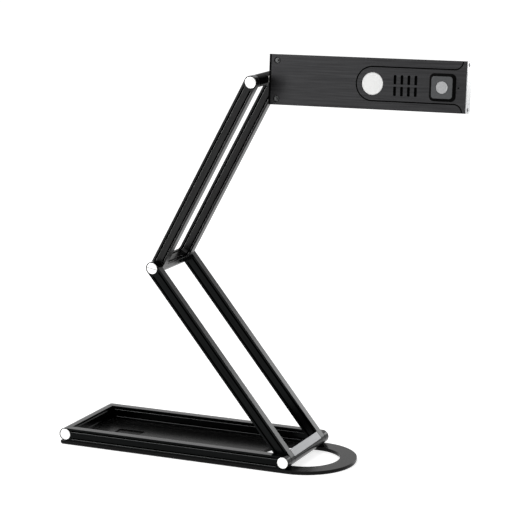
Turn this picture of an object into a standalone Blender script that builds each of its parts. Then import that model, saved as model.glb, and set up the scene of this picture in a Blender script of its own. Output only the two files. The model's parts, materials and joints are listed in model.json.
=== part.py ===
"""A folding document camera: three nested frames and a camera head on friction hinges.

Run with blender --background --python part.py. Units are metres, +Z is up. The origin is the
middle of the rubber underside. Every frame is modelled as it lies folded flat in the tray, on
an empty at its hinge, and the empties then open the camera to its pose of use.
"""

import math

import bmesh
import bpy
from mathutils import Matrix

MM = 0.001
DEGREE = math.pi / 180

# Driving sizes of the tray that carries everything
PIN_SPAN = 250.0 * MM
BASE_WIDTH = 105.0 * MM
RAIL_THICK = 8.5 * MM
RAIL_HEIGHT = 13.5 * MM
TRAY_CENTRE = 150.0 * MM

# Clearances
NEST_GAP = 0.5 * MM
SEAT_GAP = 0.3 * MM
BORE_GAP = 0.3 * MM
OVERRUN = 2.0 * MM

# Base plate, its ring and the rubber under it
PAD_THICK = 0.8 * MM
PAD_INSET = 0.8 * MM
PLATE_THICK = 2.9 * MM
PLATE_SETBACK = 1.1 * MM
PLATE_CORNER = 0.8 * MM
RING_OFFSET = 3.2 * MM
RING_BAND = 17.3 * MM
OPENING_STRETCH = 12.5 * MM
TRAY_POCKET_PLACE = 32.0 * MM
TRAY_POCKET_LENGTH = 30.0 * MM
TRAY_POCKET_WIDTH = 22.0 * MM
TRAY_POCKET_DEPTH = 1.2 * MM
TRAY_POCKET_CORNER = 2.0 * MM

# Lengths of the folding arms, pin to pin, and their angles in use
LOWER_ARM_LENGTH = 238.0 * MM
UPPER_ARM_LENGTH = 222.0 * MM
LOWER_ARM_ANGLE = 51.1 * DEGREE
UPPER_ARM_ANGLE = 61.2 * DEGREE
HEAD_RISE = 0.5 * DEGREE
HEAD_TURN = 6.0 * DEGREE

# Grooves along the frame bars
GROOVE_WIDTH = 1.5 * MM
GROOVE_DEPTH = 1.2 * MM
GROOVE_HEIGHT = 3.88 * MM
GROOVE_END = 7.4 * MM

# Cross bars
END_BAR_REACH = 4.7 * MM
LOWER_BAR_REACH = 7.0 * MM
UPPER_BAR_REACH = 5.7 * MM
UPPER_BAR_FILLET = 3.3 * MM
BAR_PLATE_THICK = 1.0 * MM
BAR_PLATE_START = 1.4 * MM
DOWEL_RADIUS = 1.1 * MM
DOWEL_LENGTH = 6.0 * MM
DOWEL_REACH = 4.6 * MM

# Hinge hardware, the same on every frame
SHAFT_RADIUS = 2.5 * MM
CAP_RADIUS = 6.1 * MM
CAP_GAP = 0.25 * MM
CAP_THICK = 1.4 * MM
CAP_CHAMFER = 0.35 * MM
CAP_CROWN = 0.15 * MM
CROWN_EDGE_SHARE = 0.67
CROWN_DROP_SHARE = 0.33
NUT_RADIUS = 4.2 * MM
NUT_THICK = 2.2 * MM
WASHER_RADIUS = 5.0 * MM
WASHER_THICK = 0.9 * MM
END_SCREW_RADIUS = 1.5 * MM
END_SCREW_DEPTH = 9.0 * MM

# Screws that hold the rails on the plate, from below
PLATE_SCREW_RADIUS = 1.5 * MM
PLATE_SCREW_HEAD = 2.75 * MM
PLATE_SCREW_CONE = 1.5 * MM
PLATE_SCREW_LENGTH = 8.5 * MM
PLATE_SCREW = (PLATE_SCREW_RADIUS, PLATE_SCREW_HEAD, PLATE_SCREW_CONE, PLATE_SCREW_LENGTH)
SOCKET_SHARE = 0.42
TIP_SHARE = 0.75
PLATE_SCREW_SHARES = (0.12, 0.82)

# Camera head
HEAD_LENGTH = 207.2 * MM
HEAD_START = 7.3 * MM
HEAD_WIDTH = 50.0 * MM
HEAD_THICK = 11.5 * MM
HEAD_WALL = 1.5 * MM
HEAD_BACK_RADIUS = 4.5 * MM
ROOT_PLATE_THICK = 2.0 * MM
END_PLATE_THICK = 0.7 * MM
PANEL_THICK = 1.4 * MM
PANEL_GAP = 0.8 * MM

# Lamp, tongue, slots and lens on the head's face, placed back from the head's free end
LAMP_FROM_END = 97.1 * MM
LAMP_RADIUS = 10.9 * MM
LAMP_RECESS = 0.5 * MM
LAMP_THICK = 1.2 * MM
LAMP_FLANGE_RADIUS = 12.3 * MM
LAMP_BOARD_THICK = 1.0 * MM
TONGUE_RADIUS = 16.0 * MM
FLARE_FROM_END = 4.0 * MM
SLOTS_FROM_END = 62.9 * MM
SLOT_PITCH = 7.15 * MM
SLOT_ROW_PITCH = 11.2 * MM
SLOT_WIDTH = 2.9 * MM
SLOT_LENGTH = 9.1 * MM
SLOT_CORNER = 1.0 * MM
SLOT_COUNT = 4
LENS_FROM_END = 24.7 * MM
LENS_DROP = 0.9 * MM
BEZEL_FOOT = 27.0 * MM
BEZEL_TOP = 23.0 * MM
BEZEL_HEIGHT = 2.7 * MM
BEZEL_CORNER = 5.0 * MM
LENS_PLATE = 21.4 * MM
LENS_PLATE_CORNER = 3.0 * MM
LENS_PLATE_THICK = 0.8 * MM
LENS_PLATE_SINK = 0.1 * MM
LENS_GLASS_RADIUS = 5.9 * MM
LENS_GLASS_THICK = 1.0 * MM
LENS_BARREL_RADIUS = 7.0 * MM
LENS_BARREL_WALL = 1.0 * MM
SENSOR_SIZE = 16.0 * MM
SENSOR_THICK = 1.0 * MM
PINHOLE_FROM_END = 8.75 * MM
PINHOLE_RADIUS = 0.9 * MM

# Screws of the face and of the end plate
FACE_SCREW_PLACE = 15.8 * MM
FACE_SCREW_SPREAD = 19.0 * MM
FACE_SCREW_HEAD = 2.85 * MM
FACE_SCREW_HEAD_THICK = 1.0 * MM
FACE_SCREW_RADIUS = 1.4 * MM
FACE_SCREW_LENGTH = 7.0 * MM
FACE_SCREW_SOCKET = 1.1 * MM
BOSS_RADIUS = 3.4 * MM
END_SCREW_SPREAD = 21.5 * MM
END_PLATE_SCREW_RADIUS = 1.0 * MM
END_PLATE_SCREW_HEAD = 1.9 * MM
END_PLATE_SCREW_CONE = 0.9 * MM
END_PLATE_SCREW_LENGTH = 6.0 * MM
END_PLATE_SCREW = (
    END_PLATE_SCREW_RADIUS,
    END_PLATE_SCREW_HEAD,
    END_PLATE_SCREW_CONE,
    END_PLATE_SCREW_LENGTH,
)
CORNER_POST = 6.5 * MM
CORNER_POST_LENGTH = 8.0 * MM

# Boards and socket inside the head
MAIN_BOARD_THICK = 1.2 * MM
MAIN_BOARD_WIDTH = 40.0 * MM
MAIN_BOARD_START = 34.0 * MM
MAIN_BOARD_FROM_END = 16.5 * MM
BOARD_POST_RADIUS = 2.2 * MM
BOARD_POST_HEIGHT = 1.6 * MM
BOARD_POST_MARGIN = 8.8 * MM
MICROPHONE_SIZE = (24.0 * MM, 18.0 * MM, 2.6 * MM)
USB_PLACE = 44.0 * MM
USB_WIDTH = 8.4 * MM
USB_HEIGHT = 3.4 * MM
USB_DEPTH = 7.0 * MM
USB_WALL = 0.4 * MM
USB_TONGUE_THICK = 0.8 * MM
USB_CORNER = 0.85 * MM

# Knuckle between the upper arm and the head
KNUCKLE_RADIUS = 6.4 * MM
SWIVEL_RADIUS = 3.0 * MM
SWIVEL_FLANGE_RADIUS = 4.9 * MM
SWIVEL_FLANGE_THICK = 1.0 * MM
SWIVEL_TAIL = 9.0 * MM
SWIVEL_NUT_RADIUS = 4.4 * MM
SWIVEL_NUT_THICK = 2.4 * MM
SWIVEL_WASHER_RADIUS = 4.0 * MM
SWIVEL_WASHER_THICK = 0.6 * MM

# Sides of the frames, how finely round shapes are cut, and what counts as an edge or a point
SIDES = ((-1, "near"), (1, "far"))
ROUND_STEPS = 20
FINE_STEPS = 36
SMALL_STEPS = 12
CORNER_STEPS = 5
TINY_STEPS = 3
NUT_SIDES = 6
SHARP_ANGLE = 35 * DEGREE
SMALLEST_MERGE = 0.01 * MM

# Sizes that follow from the ones above
RAIL_RADIUS = RAIL_HEIGHT / 2
PLATE_BOTTOM = PAD_THICK + SEAT_GAP
PLATE_TOP = PLATE_BOTTOM + PLATE_THICK
PIN_HEIGHT = PLATE_TOP + SEAT_GAP + RAIL_RADIUS
TRAY_END_X = -TRAY_CENTRE
HINGE_X = TRAY_END_X + PIN_SPAN
LOWER_WIDTH = BASE_WIDTH - 2 * (RAIL_THICK + NEST_GAP)
UPPER_WIDTH = LOWER_WIDTH - 2 * (RAIL_THICK + NEST_GAP)
BASE_INNER = BASE_WIDTH - 2 * RAIL_THICK
LOWER_INNER = LOWER_WIDTH - 2 * RAIL_THICK
UPPER_INNER = UPPER_WIDTH - 2 * RAIL_THICK
WASHER_RECESS = WASHER_THICK + 2 * SEAT_GAP - NEST_GAP
CAP_POCKET = CAP_THICK + SEAT_GAP
NUT_POCKET = CAP_POCKET + NUT_THICK + SEAT_GAP
HEAD_FRONT = -HEAD_THICK / 2
HEAD_END = HEAD_START + HEAD_LENGTH
LAMP_PLACE = HEAD_END - LAMP_FROM_END
FLARE_END = HEAD_END - FLARE_FROM_END
SLOTS_PLACE = HEAD_END - SLOTS_FROM_END
LENS_PLACE = HEAD_END - LENS_FROM_END
PINHOLE_PLACE = HEAD_END - PINHOLE_FROM_END
MAIN_BOARD_END = HEAD_END - MAIN_BOARD_FROM_END
SHELL_START = HEAD_START + ROOT_PLATE_THICK + SEAT_GAP
SHELL_END = HEAD_END - END_PLATE_THICK - SEAT_GAP
PANEL_BACK = HEAD_FRONT + PANEL_THICK
SHELL_FRONT = PANEL_BACK + SEAT_GAP

MATERIALS = {
    "black_steel": ((0.010, 0.011, 0.011, 1), 0.42, 0.85),
    "black_aluminium": ((0.014, 0.015, 0.016, 1), 0.36, 0.9),
    "brushed_black": ((0.045, 0.045, 0.047, 1), 0.34, 0.9),
    "satin_silver": ((0.48, 0.48, 0.49, 1), 0.3, 1.0),
    "polished_silver": ((0.86, 0.86, 0.86, 1), 0.12, 1.0),
    "steel": ((0.45, 0.45, 0.46, 1), 0.28, 1.0),
    "black_rubber": ((0.012, 0.012, 0.012, 1), 0.8, 0.0),
    "black_nylon": ((0.01, 0.01, 0.01, 1), 0.5, 0.0),
    "white_diffuser": ((0.80, 0.80, 0.79, 1), 0.45, 0.0),
    "grey_plate": ((0.11, 0.11, 0.115, 1), 0.38, 0.6),
    "lens_glass": ((0.35, 0.36, 0.38, 1), 0.06, 0.0),
    "circuit_green": ((0.02, 0.11, 0.05, 1), 0.5, 0.0),
}


def collection(name):
    """The scene's collection of this name, made when it is not there yet."""
    found = bpy.data.collections.get(name)
    if found is None:
        found = bpy.data.collections.new(name)
        bpy.context.scene.collection.children.link(found)
    return found


def material(name):
    """A Principled material with the colour, roughness and metallic value of its row."""
    found = bpy.data.materials.get(name)
    if found is None:
        colour, roughness, metallic = MATERIALS[name]
        found = bpy.data.materials.new(name)
        found.use_nodes = True
        shader = found.node_tree.nodes["Principled BSDF"]
        shader.inputs["Base Color"].default_value = colour
        shader.inputs["Roughness"].default_value = roughness
        shader.inputs["Metallic"].default_value = metallic
    return found


def arc(centre, radius, start, end, steps):
    """Points on an arc about centre, from the start angle to the end angle in degrees."""
    points = []
    for i in range(steps + 1):
        angle = (start + (end - start) * i / steps) * DEGREE
        points.append((centre[0] + radius * math.cos(angle), centre[1] + radius * math.sin(angle)))
    return points


def rounded_rectangle(low, high, radius, steps=CORNER_STEPS):
    """An outline of a rectangle with round corners."""
    (x0, y0), (x1, y1) = low, high
    outline = arc((x1 - radius, y1 - radius), radius, 0, 90, steps)
    outline += arc((x0 + radius, y1 - radius), radius, 90, 180, steps)
    outline += arc((x0 + radius, y0 + radius), radius, 180, 270, steps)
    outline += arc((x1 - radius, y0 + radius), radius, 270, 360, steps)
    return outline


def obround(start, end, radius):
    """An outline with round ends about two points on the first axis."""
    half = ROUND_STEPS // 2
    return arc((end, 0), radius, -90, 90, half) + arc((start, 0), radius, 90, 270, half)


def extruded(name, outlines, low, high, axes="xyz"):
    """A solid from flat outlines, the later ones holes, between low and high on the third axis."""
    data = bpy.data.curves.new(name, "CURVE")
    data.dimensions = "2D"
    data.fill_mode = "BOTH"
    data.extrude = (high - low) / 2
    for outline in outlines:
        spline = data.splines.new("POLY")
        spline.points.add(len(outline) - 1)
        for point, (x, y) in zip(spline.points, outline):
            point.co = (x, y, 0, 1)
        spline.use_cyclic_u = True
    curve = bpy.data.objects.new(name, data)
    bpy.context.scene.collection.objects.link(curve)
    graph = bpy.context.evaluated_depsgraph_get()
    mesh = bpy.data.meshes.new_from_object(curve.evaluated_get(graph))
    bpy.data.objects.remove(curve)
    bpy.data.curves.remove(data)
    solid = bmesh.new()
    solid.from_mesh(mesh)
    bmesh.ops.remove_doubles(solid, verts=solid.verts, dist=SMALLEST_MERGE)
    bmesh.ops.translate(solid, verts=solid.verts, vec=(0, 0, (low + high) / 2))
    turn = {
        "xyz": Matrix.Identity(4),
        "xzy": Matrix(((1, 0, 0, 0), (0, 0, 1, 0), (0, 1, 0, 0), (0, 0, 0, 1))),
        "yzx": Matrix(((0, 0, 1, 0), (1, 0, 0, 0), (0, 1, 0, 0), (0, 0, 0, 1))),
    }[axes]
    bmesh.ops.transform(solid, matrix=turn, verts=solid.verts)
    bmesh.ops.recalc_face_normals(solid, faces=solid.faces)
    solid.to_mesh(mesh)
    solid.free()
    return mesh


def block(name, low, high):
    """A box mesh between two corners."""
    mesh = bpy.data.meshes.new(name)
    solid = bmesh.new()
    bmesh.ops.create_cube(solid, size=1)
    size = [b - a for a, b in zip(low, high)]
    centre = [(a + b) / 2 for a, b in zip(low, high)]
    bmesh.ops.scale(solid, vec=size, verts=solid.verts)
    bmesh.ops.translate(solid, vec=centre, verts=solid.verts)
    solid.to_mesh(mesh)
    solid.free()
    return mesh


def rod(name, radius, low, high, axis, place=(0, 0), steps=ROUND_STEPS):
    """A cylinder mesh along an axis, from low to high, at a place on the other two."""
    mesh = bpy.data.meshes.new(name)
    solid = bmesh.new()
    bmesh.ops.create_cone(
        solid, cap_ends=True, segments=steps, radius1=radius, radius2=radius, depth=high - low
    )
    bmesh.ops.translate(solid, vec=(0, 0, (low + high) / 2), verts=solid.verts)
    if axis == "x":
        bmesh.ops.rotate(solid, matrix=Matrix.Rotation(90 * DEGREE, 3, "Y"), verts=solid.verts)
        bmesh.ops.translate(solid, vec=(0, place[0], place[1]), verts=solid.verts)
    elif axis == "y":
        bmesh.ops.rotate(solid, matrix=Matrix.Rotation(-90 * DEGREE, 3, "X"), verts=solid.verts)
        bmesh.ops.translate(solid, vec=(place[0], 0, place[1]), verts=solid.verts)
    else:
        bmesh.ops.translate(solid, vec=(place[0], place[1], 0), verts=solid.verts)
    solid.to_mesh(mesh)
    solid.free()
    return mesh


def gathered(name, meshes):
    """One mesh of several bodies that stay apart, for a cutter."""
    merged = bmesh.new()
    for mesh in meshes:
        merged.from_mesh(mesh)
        bpy.data.meshes.remove(mesh)
    result = bpy.data.meshes.new(name)
    merged.to_mesh(result)
    merged.free()
    return result


def piece(name, mesh, finish, parent, smooth=True):
    """A finished sub-part on the empty that carries it."""
    mesh.name = name
    obj = bpy.data.objects.new(name, mesh)
    collection("document_camera").objects.link(obj)
    obj.data.materials.append(material(finish))
    obj.parent = parent
    if smooth:
        mesh.shade_smooth()
        mesh.set_sharp_from_angle(angle=SHARP_ANGLE)
    return obj


def cutter(name, mesh, parent):
    """A hidden body that a Boolean takes from a piece."""
    mesh.name = name
    obj = bpy.data.objects.new(name, mesh)
    collection("cutters").objects.link(obj)
    obj.hide_render = True
    obj.display_type = "WIRE"
    obj.parent = parent
    return obj


def boolean(obj, tool, operation="DIFFERENCE"):
    """Combine a piece with a hidden body by an exact Boolean."""
    step = obj.modifiers.new(tool.name, "BOOLEAN")
    step.object = tool
    step.operation = operation
    step.solver = "EXACT"


def cut_out(obj, meshes):
    """Take bodies that stay clear of each other from a piece, as one cutter."""
    boolean(obj, cutter(f"cut_{obj.name}", gathered("cut", meshes), obj.parent))


def turned(name, profile, steps=ROUND_STEPS):
    """A modifier-made body of revolution about Z, from (radius, height) points, top to bottom."""
    mesh = bpy.data.meshes.new(name)
    points = [(radius, 0, height) for radius, height in profile]
    edges = [(i, i + 1) for i in range(len(points) - 1)]
    mesh.from_pydata(points, edges, [])
    obj = bpy.data.objects.new(name, mesh)
    bpy.context.scene.collection.objects.link(obj)
    screw = obj.modifiers.new("turn", "SCREW")
    screw.steps = steps
    screw.render_steps = steps
    screw.use_merge_vertices = True
    screw.merge_threshold = SMALLEST_MERGE
    graph = bpy.context.evaluated_depsgraph_get()
    result = bpy.data.meshes.new_from_object(obj.evaluated_get(graph))
    bpy.data.objects.remove(obj)
    bpy.data.meshes.remove(mesh)
    solid = bmesh.new()
    solid.from_mesh(result)
    bmesh.ops.remove_doubles(solid, verts=solid.verts, dist=SMALLEST_MERGE)
    bmesh.ops.recalc_face_normals(solid, faces=solid.faces)
    solid.to_mesh(result)
    solid.free()
    return result


def placed(mesh, matrix):
    """The mesh moved by a matrix."""
    mesh.transform(matrix)
    return mesh


def on_side(mesh, side, place, depth):
    """Stand a body turned about Z on a frame's outer side, its top facing out at that depth."""
    turn = Matrix.Rotation(-side * 90 * DEGREE, 4, "X")
    return placed(mesh, Matrix.Translation((place[0], side * depth, place[1])) @ turn)


def empty(name, place, parent=None, turn=(0, 0, 0)):
    """A frame of reference at a hinge."""
    obj = bpy.data.objects.new(name, None)
    collection("document_camera").objects.link(obj)
    obj.location = place
    obj.rotation_euler = turn
    obj.parent = parent
    return obj


def grooves(side, start, end, width):
    """Bars that cut two grooves in both faces of a frame's rail on one side."""
    bars = []
    for face in (width / 2, width / 2 - RAIL_THICK):
        for level in (-GROOVE_HEIGHT, GROOVE_HEIGHT):
            low = (start, side * face - GROOVE_DEPTH, level - GROOVE_WIDTH / 2)
            high = (end, side * face + GROOVE_DEPTH, level + GROOVE_WIDTH / 2)
            bars.append(block("groove", low, high))
    return bars


def shaft_bore():
    """The hole of a hinge's bolt through an inner frame."""
    return rod("bore", SHAFT_RADIUS + BORE_GAP, -BASE_WIDTH, BASE_WIDTH, "y")


def hinge_space(side, width, place):
    """The stepped hole of one hinge in an outer rail: cap, nut, bolt and friction washer."""
    face = width / 2
    inner = face - RAIL_THICK
    cap = CAP_RADIUS + CAP_GAP
    nut = NUT_RADIUS + BORE_GAP
    bore = SHAFT_RADIUS + BORE_GAP
    washer = WASHER_RADIUS + BORE_GAP
    profile = (
        (0, face + OVERRUN),
        (cap, face + OVERRUN),
        (cap, face - CAP_POCKET),
        (nut, face - CAP_POCKET),
        (nut, face - NUT_POCKET),
        (bore, face - NUT_POCKET),
        (bore, inner + WASHER_RECESS),
        (washer, inner + WASHER_RECESS),
        (washer, inner - OVERRUN),
        (0, inner - OVERRUN),
    )
    return on_side(turned("space", profile), side, (place, 0), 0)


def crowned_disc():
    """The profile of a polished disc, from the middle of its crown to the foot of its rim."""
    rim = CAP_RADIUS - CAP_CHAMFER
    return (
        (0, 0),
        (rim * CROWN_EDGE_SHARE, -CAP_CROWN * CROWN_DROP_SHARE),
        (rim, -CAP_CROWN),
        (CAP_RADIUS, -CAP_CROWN - CAP_CHAMFER),
        (CAP_RADIUS, -CAP_THICK),
    )


def make_cap(name, side, width, parent):
    """A polished disc that closes a hinge on an outer side of a frame."""
    profile = crowned_disc() + ((0, -CAP_THICK),)
    disc = on_side(turned("disc", profile), side, (0, 0), width / 2)
    return piece(name, disc, "polished_silver", parent)


def ring_profile(inner, outer, low, high, chamfer=0):
    """The closed profile of a nut or washer, for turning."""
    return (
        (inner, low),
        (inner, high),
        (outer - chamfer, high),
        (outer, high - chamfer),
        (outer, low),
        (inner, low),
    )


def hinge_hardware(label, width, parent):
    """One hinge on its outer frame: a bolt through it, its nut, two friction washers, two caps."""
    face = width / 2
    top = face - CAP_POCKET - SEAT_GAP
    bolt = (
        (0, top),
        (NUT_RADIUS - CAP_CHAMFER, top),
        (NUT_RADIUS, top - CAP_CHAMFER),
        (NUT_RADIUS, top - NUT_THICK),
        (SHAFT_RADIUS, top - NUT_THICK),
        (SHAFT_RADIUS, -top),
        (0, -top),
    )
    piece(f"{label}_bolt", on_side(turned("bolt", bolt), -1, (0, 0), 0), "steel", parent)
    bore = SHAFT_RADIUS + BORE_GAP
    ring = ring_profile(bore, NUT_RADIUS, top - NUT_THICK, top, CAP_CHAMFER)
    piece(f"{label}_nut", on_side(turned("nut", ring), 1, (0, 0), 0), "steel", parent)
    seat = face - RAIL_THICK + WASHER_RECESS - SEAT_GAP
    disc = ring_profile(bore, WASHER_RADIUS, seat - WASHER_THICK, seat)
    for side, end in SIDES:
        washer = on_side(turned("washer", disc), side, (0, 0), 0)
        piece(f"{label}_washer_{end}", washer, "black_nylon", parent)
        make_cap(f"{label}_cap_{end}", side, width, parent)


def ring_outline(inset):
    """The base plate's outline: square at the tray end, a half circle at the hinge end."""
    half = BASE_WIDTH / 2 - inset
    left = TRAY_END_X - RAIL_RADIUS + PLATE_SETBACK + inset
    corner = PLATE_CORNER
    outline = arc((HINGE_X + RING_OFFSET, 0), half, -90, 90, FINE_STEPS)
    outline += arc((left + corner, half - corner), corner, 90, 180, TINY_STEPS)
    outline += arc((left + corner, corner - half), corner, 180, 270, TINY_STEPS)
    return outline


def opening_outline(grow):
    """The long round opening in the ring."""
    radius = BASE_WIDTH / 2 - RING_BAND + grow
    right = HINGE_X + RING_OFFSET
    outline = arc((right, 0), radius, -90, 90, ROUND_STEPS)
    outline += arc((right - OPENING_STRETCH, 0), radius, 90, 270, ROUND_STEPS)
    return outline


def tray_pocket():
    """The shallow pocket in the tray's floor."""
    start = TRAY_END_X + TRAY_POCKET_PLACE
    half = TRAY_POCKET_WIDTH / 2
    low = (start, -half)
    high = (start + TRAY_POCKET_LENGTH, half)
    outline = rounded_rectangle(low, high, TRAY_POCKET_CORNER)
    return extruded("pocket", [outline], PLATE_TOP - TRAY_POCKET_DEPTH, PLATE_TOP + OVERRUN)


def screw_hole(x, y, z):
    """The countersunk hole of a plate screw, through the plate and into the rail."""
    return placed(countersink(*PLATE_SCREW), Matrix.Translation((x, y, z)))


def plate_screw_places():
    """Where the rails are screwed down, on both sides of the tray."""
    middle = (BASE_WIDTH - RAIL_THICK) / 2
    return [
        (TRAY_END_X + PIN_SPAN * share, side * middle)
        for side in (-1, 1)
        for share in PLATE_SCREW_SHARES
    ]


def countersunk(shank, head, cone, length):
    """A countersunk screw with a socket, its head's flat face at zero and its tip at length."""
    socket = head * SOCKET_SHARE
    profile = (
        (0, length),
        (shank * TIP_SHARE, length),
        (shank, length - shank / 2),
        (shank, cone),
        (head, 0),
        (socket, 0),
        (socket, cone * TIP_SHARE),
        (0, cone * TIP_SHARE),
    )
    return turned("screw", profile, SMALL_STEPS)


def countersink(shank, head, cone, length):
    """The hole for a countersunk screw, open beyond its head."""
    bore = shank + BORE_GAP
    mouth = head + BORE_GAP
    profile = (
        (0, length + SEAT_GAP),
        (bore, length + SEAT_GAP),
        (bore, cone),
        (mouth, 0),
        (mouth, -OVERRUN),
        (0, -OVERRUN),
    )
    return turned("hole", profile, SMALL_STEPS)


def build_base():
    """The plate with its ring, the rubber under it, the two rails and the tray's end bar."""
    frame = empty("base_frame", (0, 0, 0))
    pad = extruded("base_pad", [ring_outline(PAD_INSET), opening_outline(PAD_INSET)], 0, PAD_THICK)
    piece("base_pad", pad, "black_rubber", frame)

    outlines = [ring_outline(0), opening_outline(0)]
    plate = piece(
        "base_plate",
        extruded("base_plate", outlines, PLATE_BOTTOM, PLATE_TOP),
        "black_steel",
        frame,
    )
    for i, (x, y) in enumerate(plate_screw_places()):
        screw = piece(f"base_screw_{i + 1}", countersunk(*PLATE_SCREW), "steel", frame)
        screw.location = (x, y, PLATE_BOTTOM)
    holes = [screw_hole(x, y, PLATE_BOTTOM) for x, y in plate_screw_places()]
    cut_out(plate, [*holes, tray_pocket()])

    hinge = empty("base_pins", (HINGE_X, 0, PIN_HEIGHT), frame)
    side_outline = obround(-PIN_SPAN, 0, RAIL_RADIUS)
    for side, label in SIDES:
        name = f"base_rail_{label}"
        ends = sorted((side * BASE_WIDTH / 2, side * BASE_INNER / 2))
        rail = piece(
            name, extruded(name, [side_outline], *ends, axes="xzy"), "black_aluminium", hinge
        )
        bodies = grooves(side, GROOVE_END - PIN_SPAN, -GROOVE_END, BASE_WIDTH)
        bodies += [hinge_space(side, BASE_WIDTH, 0), end_screw_space(side)]
        for x, y in plate_screw_places():
            if y * side > 0:
                bodies.append(screw_hole(x - HINGE_X, y, PLATE_BOTTOM - PIN_HEIGHT))
        cut_out(rail, bodies)
    build_end_bar(hinge)
    hinge_hardware("base_hinge", BASE_WIDTH, hinge)
    return hinge


def end_screw_space(side):
    """The stepped hole for the disc-headed screw at the tray end of a base rail."""
    face = BASE_WIDTH / 2
    cap = CAP_RADIUS + CAP_GAP
    bore = END_SCREW_RADIUS + BORE_GAP
    profile = (
        (0, face + OVERRUN),
        (cap, face + OVERRUN),
        (cap, face - CAP_POCKET),
        (bore, face - CAP_POCKET),
        (bore, face - RAIL_THICK - OVERRUN),
        (0, face - RAIL_THICK - OVERRUN),
    )
    return on_side(turned("space", profile), side, (-PIN_SPAN, 0), 0)


def build_end_bar(hinge):
    """The bar across the tray's end and the two disc-headed screws that hold it."""
    outline = arc((-PIN_SPAN, 0), RAIL_RADIUS, 90, 270, ROUND_STEPS // 2)
    outline += [
        (END_BAR_REACH - PIN_SPAN, -RAIL_RADIUS),
        (END_BAR_REACH - PIN_SPAN, RAIL_RADIUS),
    ]
    reach = BASE_INNER / 2 - SEAT_GAP
    bar = piece(
        "tray_end_bar",
        extruded("bar", [outline], -reach, reach, axes="xzy"),
        "black_aluminium",
        hinge,
    )
    bodies = []
    for level in (-GROOVE_HEIGHT, GROOVE_HEIGHT):
        low = (END_BAR_REACH - PIN_SPAN - GROOVE_DEPTH, -BASE_WIDTH, level - GROOVE_WIDTH / 2)
        high = (END_BAR_REACH - PIN_SPAN + OVERRUN, BASE_WIDTH, level + GROOVE_WIDTH / 2)
        bodies.append(block("groove", low, high))
    for side, label in SIDES:
        tip = END_SCREW_DEPTH - BASE_INNER / 2
        ends = sorted((side * (-tip - SEAT_GAP), side * BASE_WIDTH))
        hole = rod("hole", END_SCREW_RADIUS + BORE_GAP, *ends, "y", (-PIN_SPAN, 0), SMALL_STEPS)
        bodies.append(hole)
        profile = crowned_disc() + (
            (END_SCREW_RADIUS, -CAP_THICK),
            (END_SCREW_RADIUS, -BASE_WIDTH / 2 - tip),
            (0, -BASE_WIDTH / 2 - tip),
        )
        screw = on_side(turned("screw", profile), side, (-PIN_SPAN, 0), BASE_WIDTH / 2)
        piece(f"tray_end_screw_{label}", screw, "polished_silver", hinge)
    cut_out(bar, bodies)


def build_lower_arm(hinge):
    """The lower arm: two rails on a solid bar at the base hinge, open at the middle hinge."""
    arm = empty("lower_arm_pivot", (0, 0, 0), hinge, (0, LOWER_ARM_ANGLE, 0))
    side_outline = obround(-LOWER_ARM_LENGTH, 0, RAIL_RADIUS)
    for side, label in SIDES:
        name = f"lower_rail_{label}"
        ends = sorted((side * LOWER_WIDTH / 2, side * LOWER_INNER / 2))
        rail = piece(
            name, extruded(name, [side_outline], *ends, axes="xzy"), "black_aluminium", arm
        )
        bodies = grooves(side, GROOVE_END - LOWER_ARM_LENGTH, -GROOVE_END, LOWER_WIDTH)
        bodies += [shaft_bore(), dowel(side, BORE_GAP)]
        bodies.append(hinge_space(side, LOWER_WIDTH, -LOWER_ARM_LENGTH))
        cut_out(rail, bodies)
        piece(f"lower_bar_dowel_{label}", dowel(side, 0), "steel", arm)

    half = ROUND_STEPS // 2
    outline = arc((0, 0), RAIL_RADIUS, -90, 90, half)
    recess = RAIL_RADIUS - BAR_PLATE_THICK - SEAT_GAP
    outline += [
        (BAR_PLATE_START + SEAT_GAP, RAIL_RADIUS),
        (BAR_PLATE_START + SEAT_GAP, recess),
        (-LOWER_BAR_REACH, recess),
        (-LOWER_BAR_REACH, -RAIL_RADIUS),
    ]
    reach = LOWER_INNER / 2 - SEAT_GAP
    bar = piece(
        "lower_cross_bar",
        extruded("bar", [outline], -reach, reach, axes="xzy"),
        "black_aluminium",
        arm,
    )
    cut_out(bar, [shaft_bore()] + [dowel(side, BORE_GAP) for side, label in SIDES])
    low = (-LOWER_BAR_REACH, -reach, recess + SEAT_GAP)
    high = (BAR_PLATE_START, reach, RAIL_RADIUS)
    piece("lower_bar_plate", block("plate", low, high), "satin_silver", arm, smooth=False)

    pins = empty("lower_arm_pins", (-LOWER_ARM_LENGTH, 0, 0), arm)
    hinge_hardware("mid_hinge", LOWER_WIDTH, pins)
    return pins


def dowel(side, grow):
    """The dowel that keys one end of the lower cross bar to its rail, or its hole."""
    middle = LOWER_INNER / 2
    low = middle - DOWEL_LENGTH / 2 - grow
    high = middle + DOWEL_LENGTH / 2 + grow
    ends = sorted((side * low, side * high))
    return rod("dowel", DOWEL_RADIUS + grow, *ends, "y", (-DOWEL_REACH, 0), SMALL_STEPS)


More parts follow.
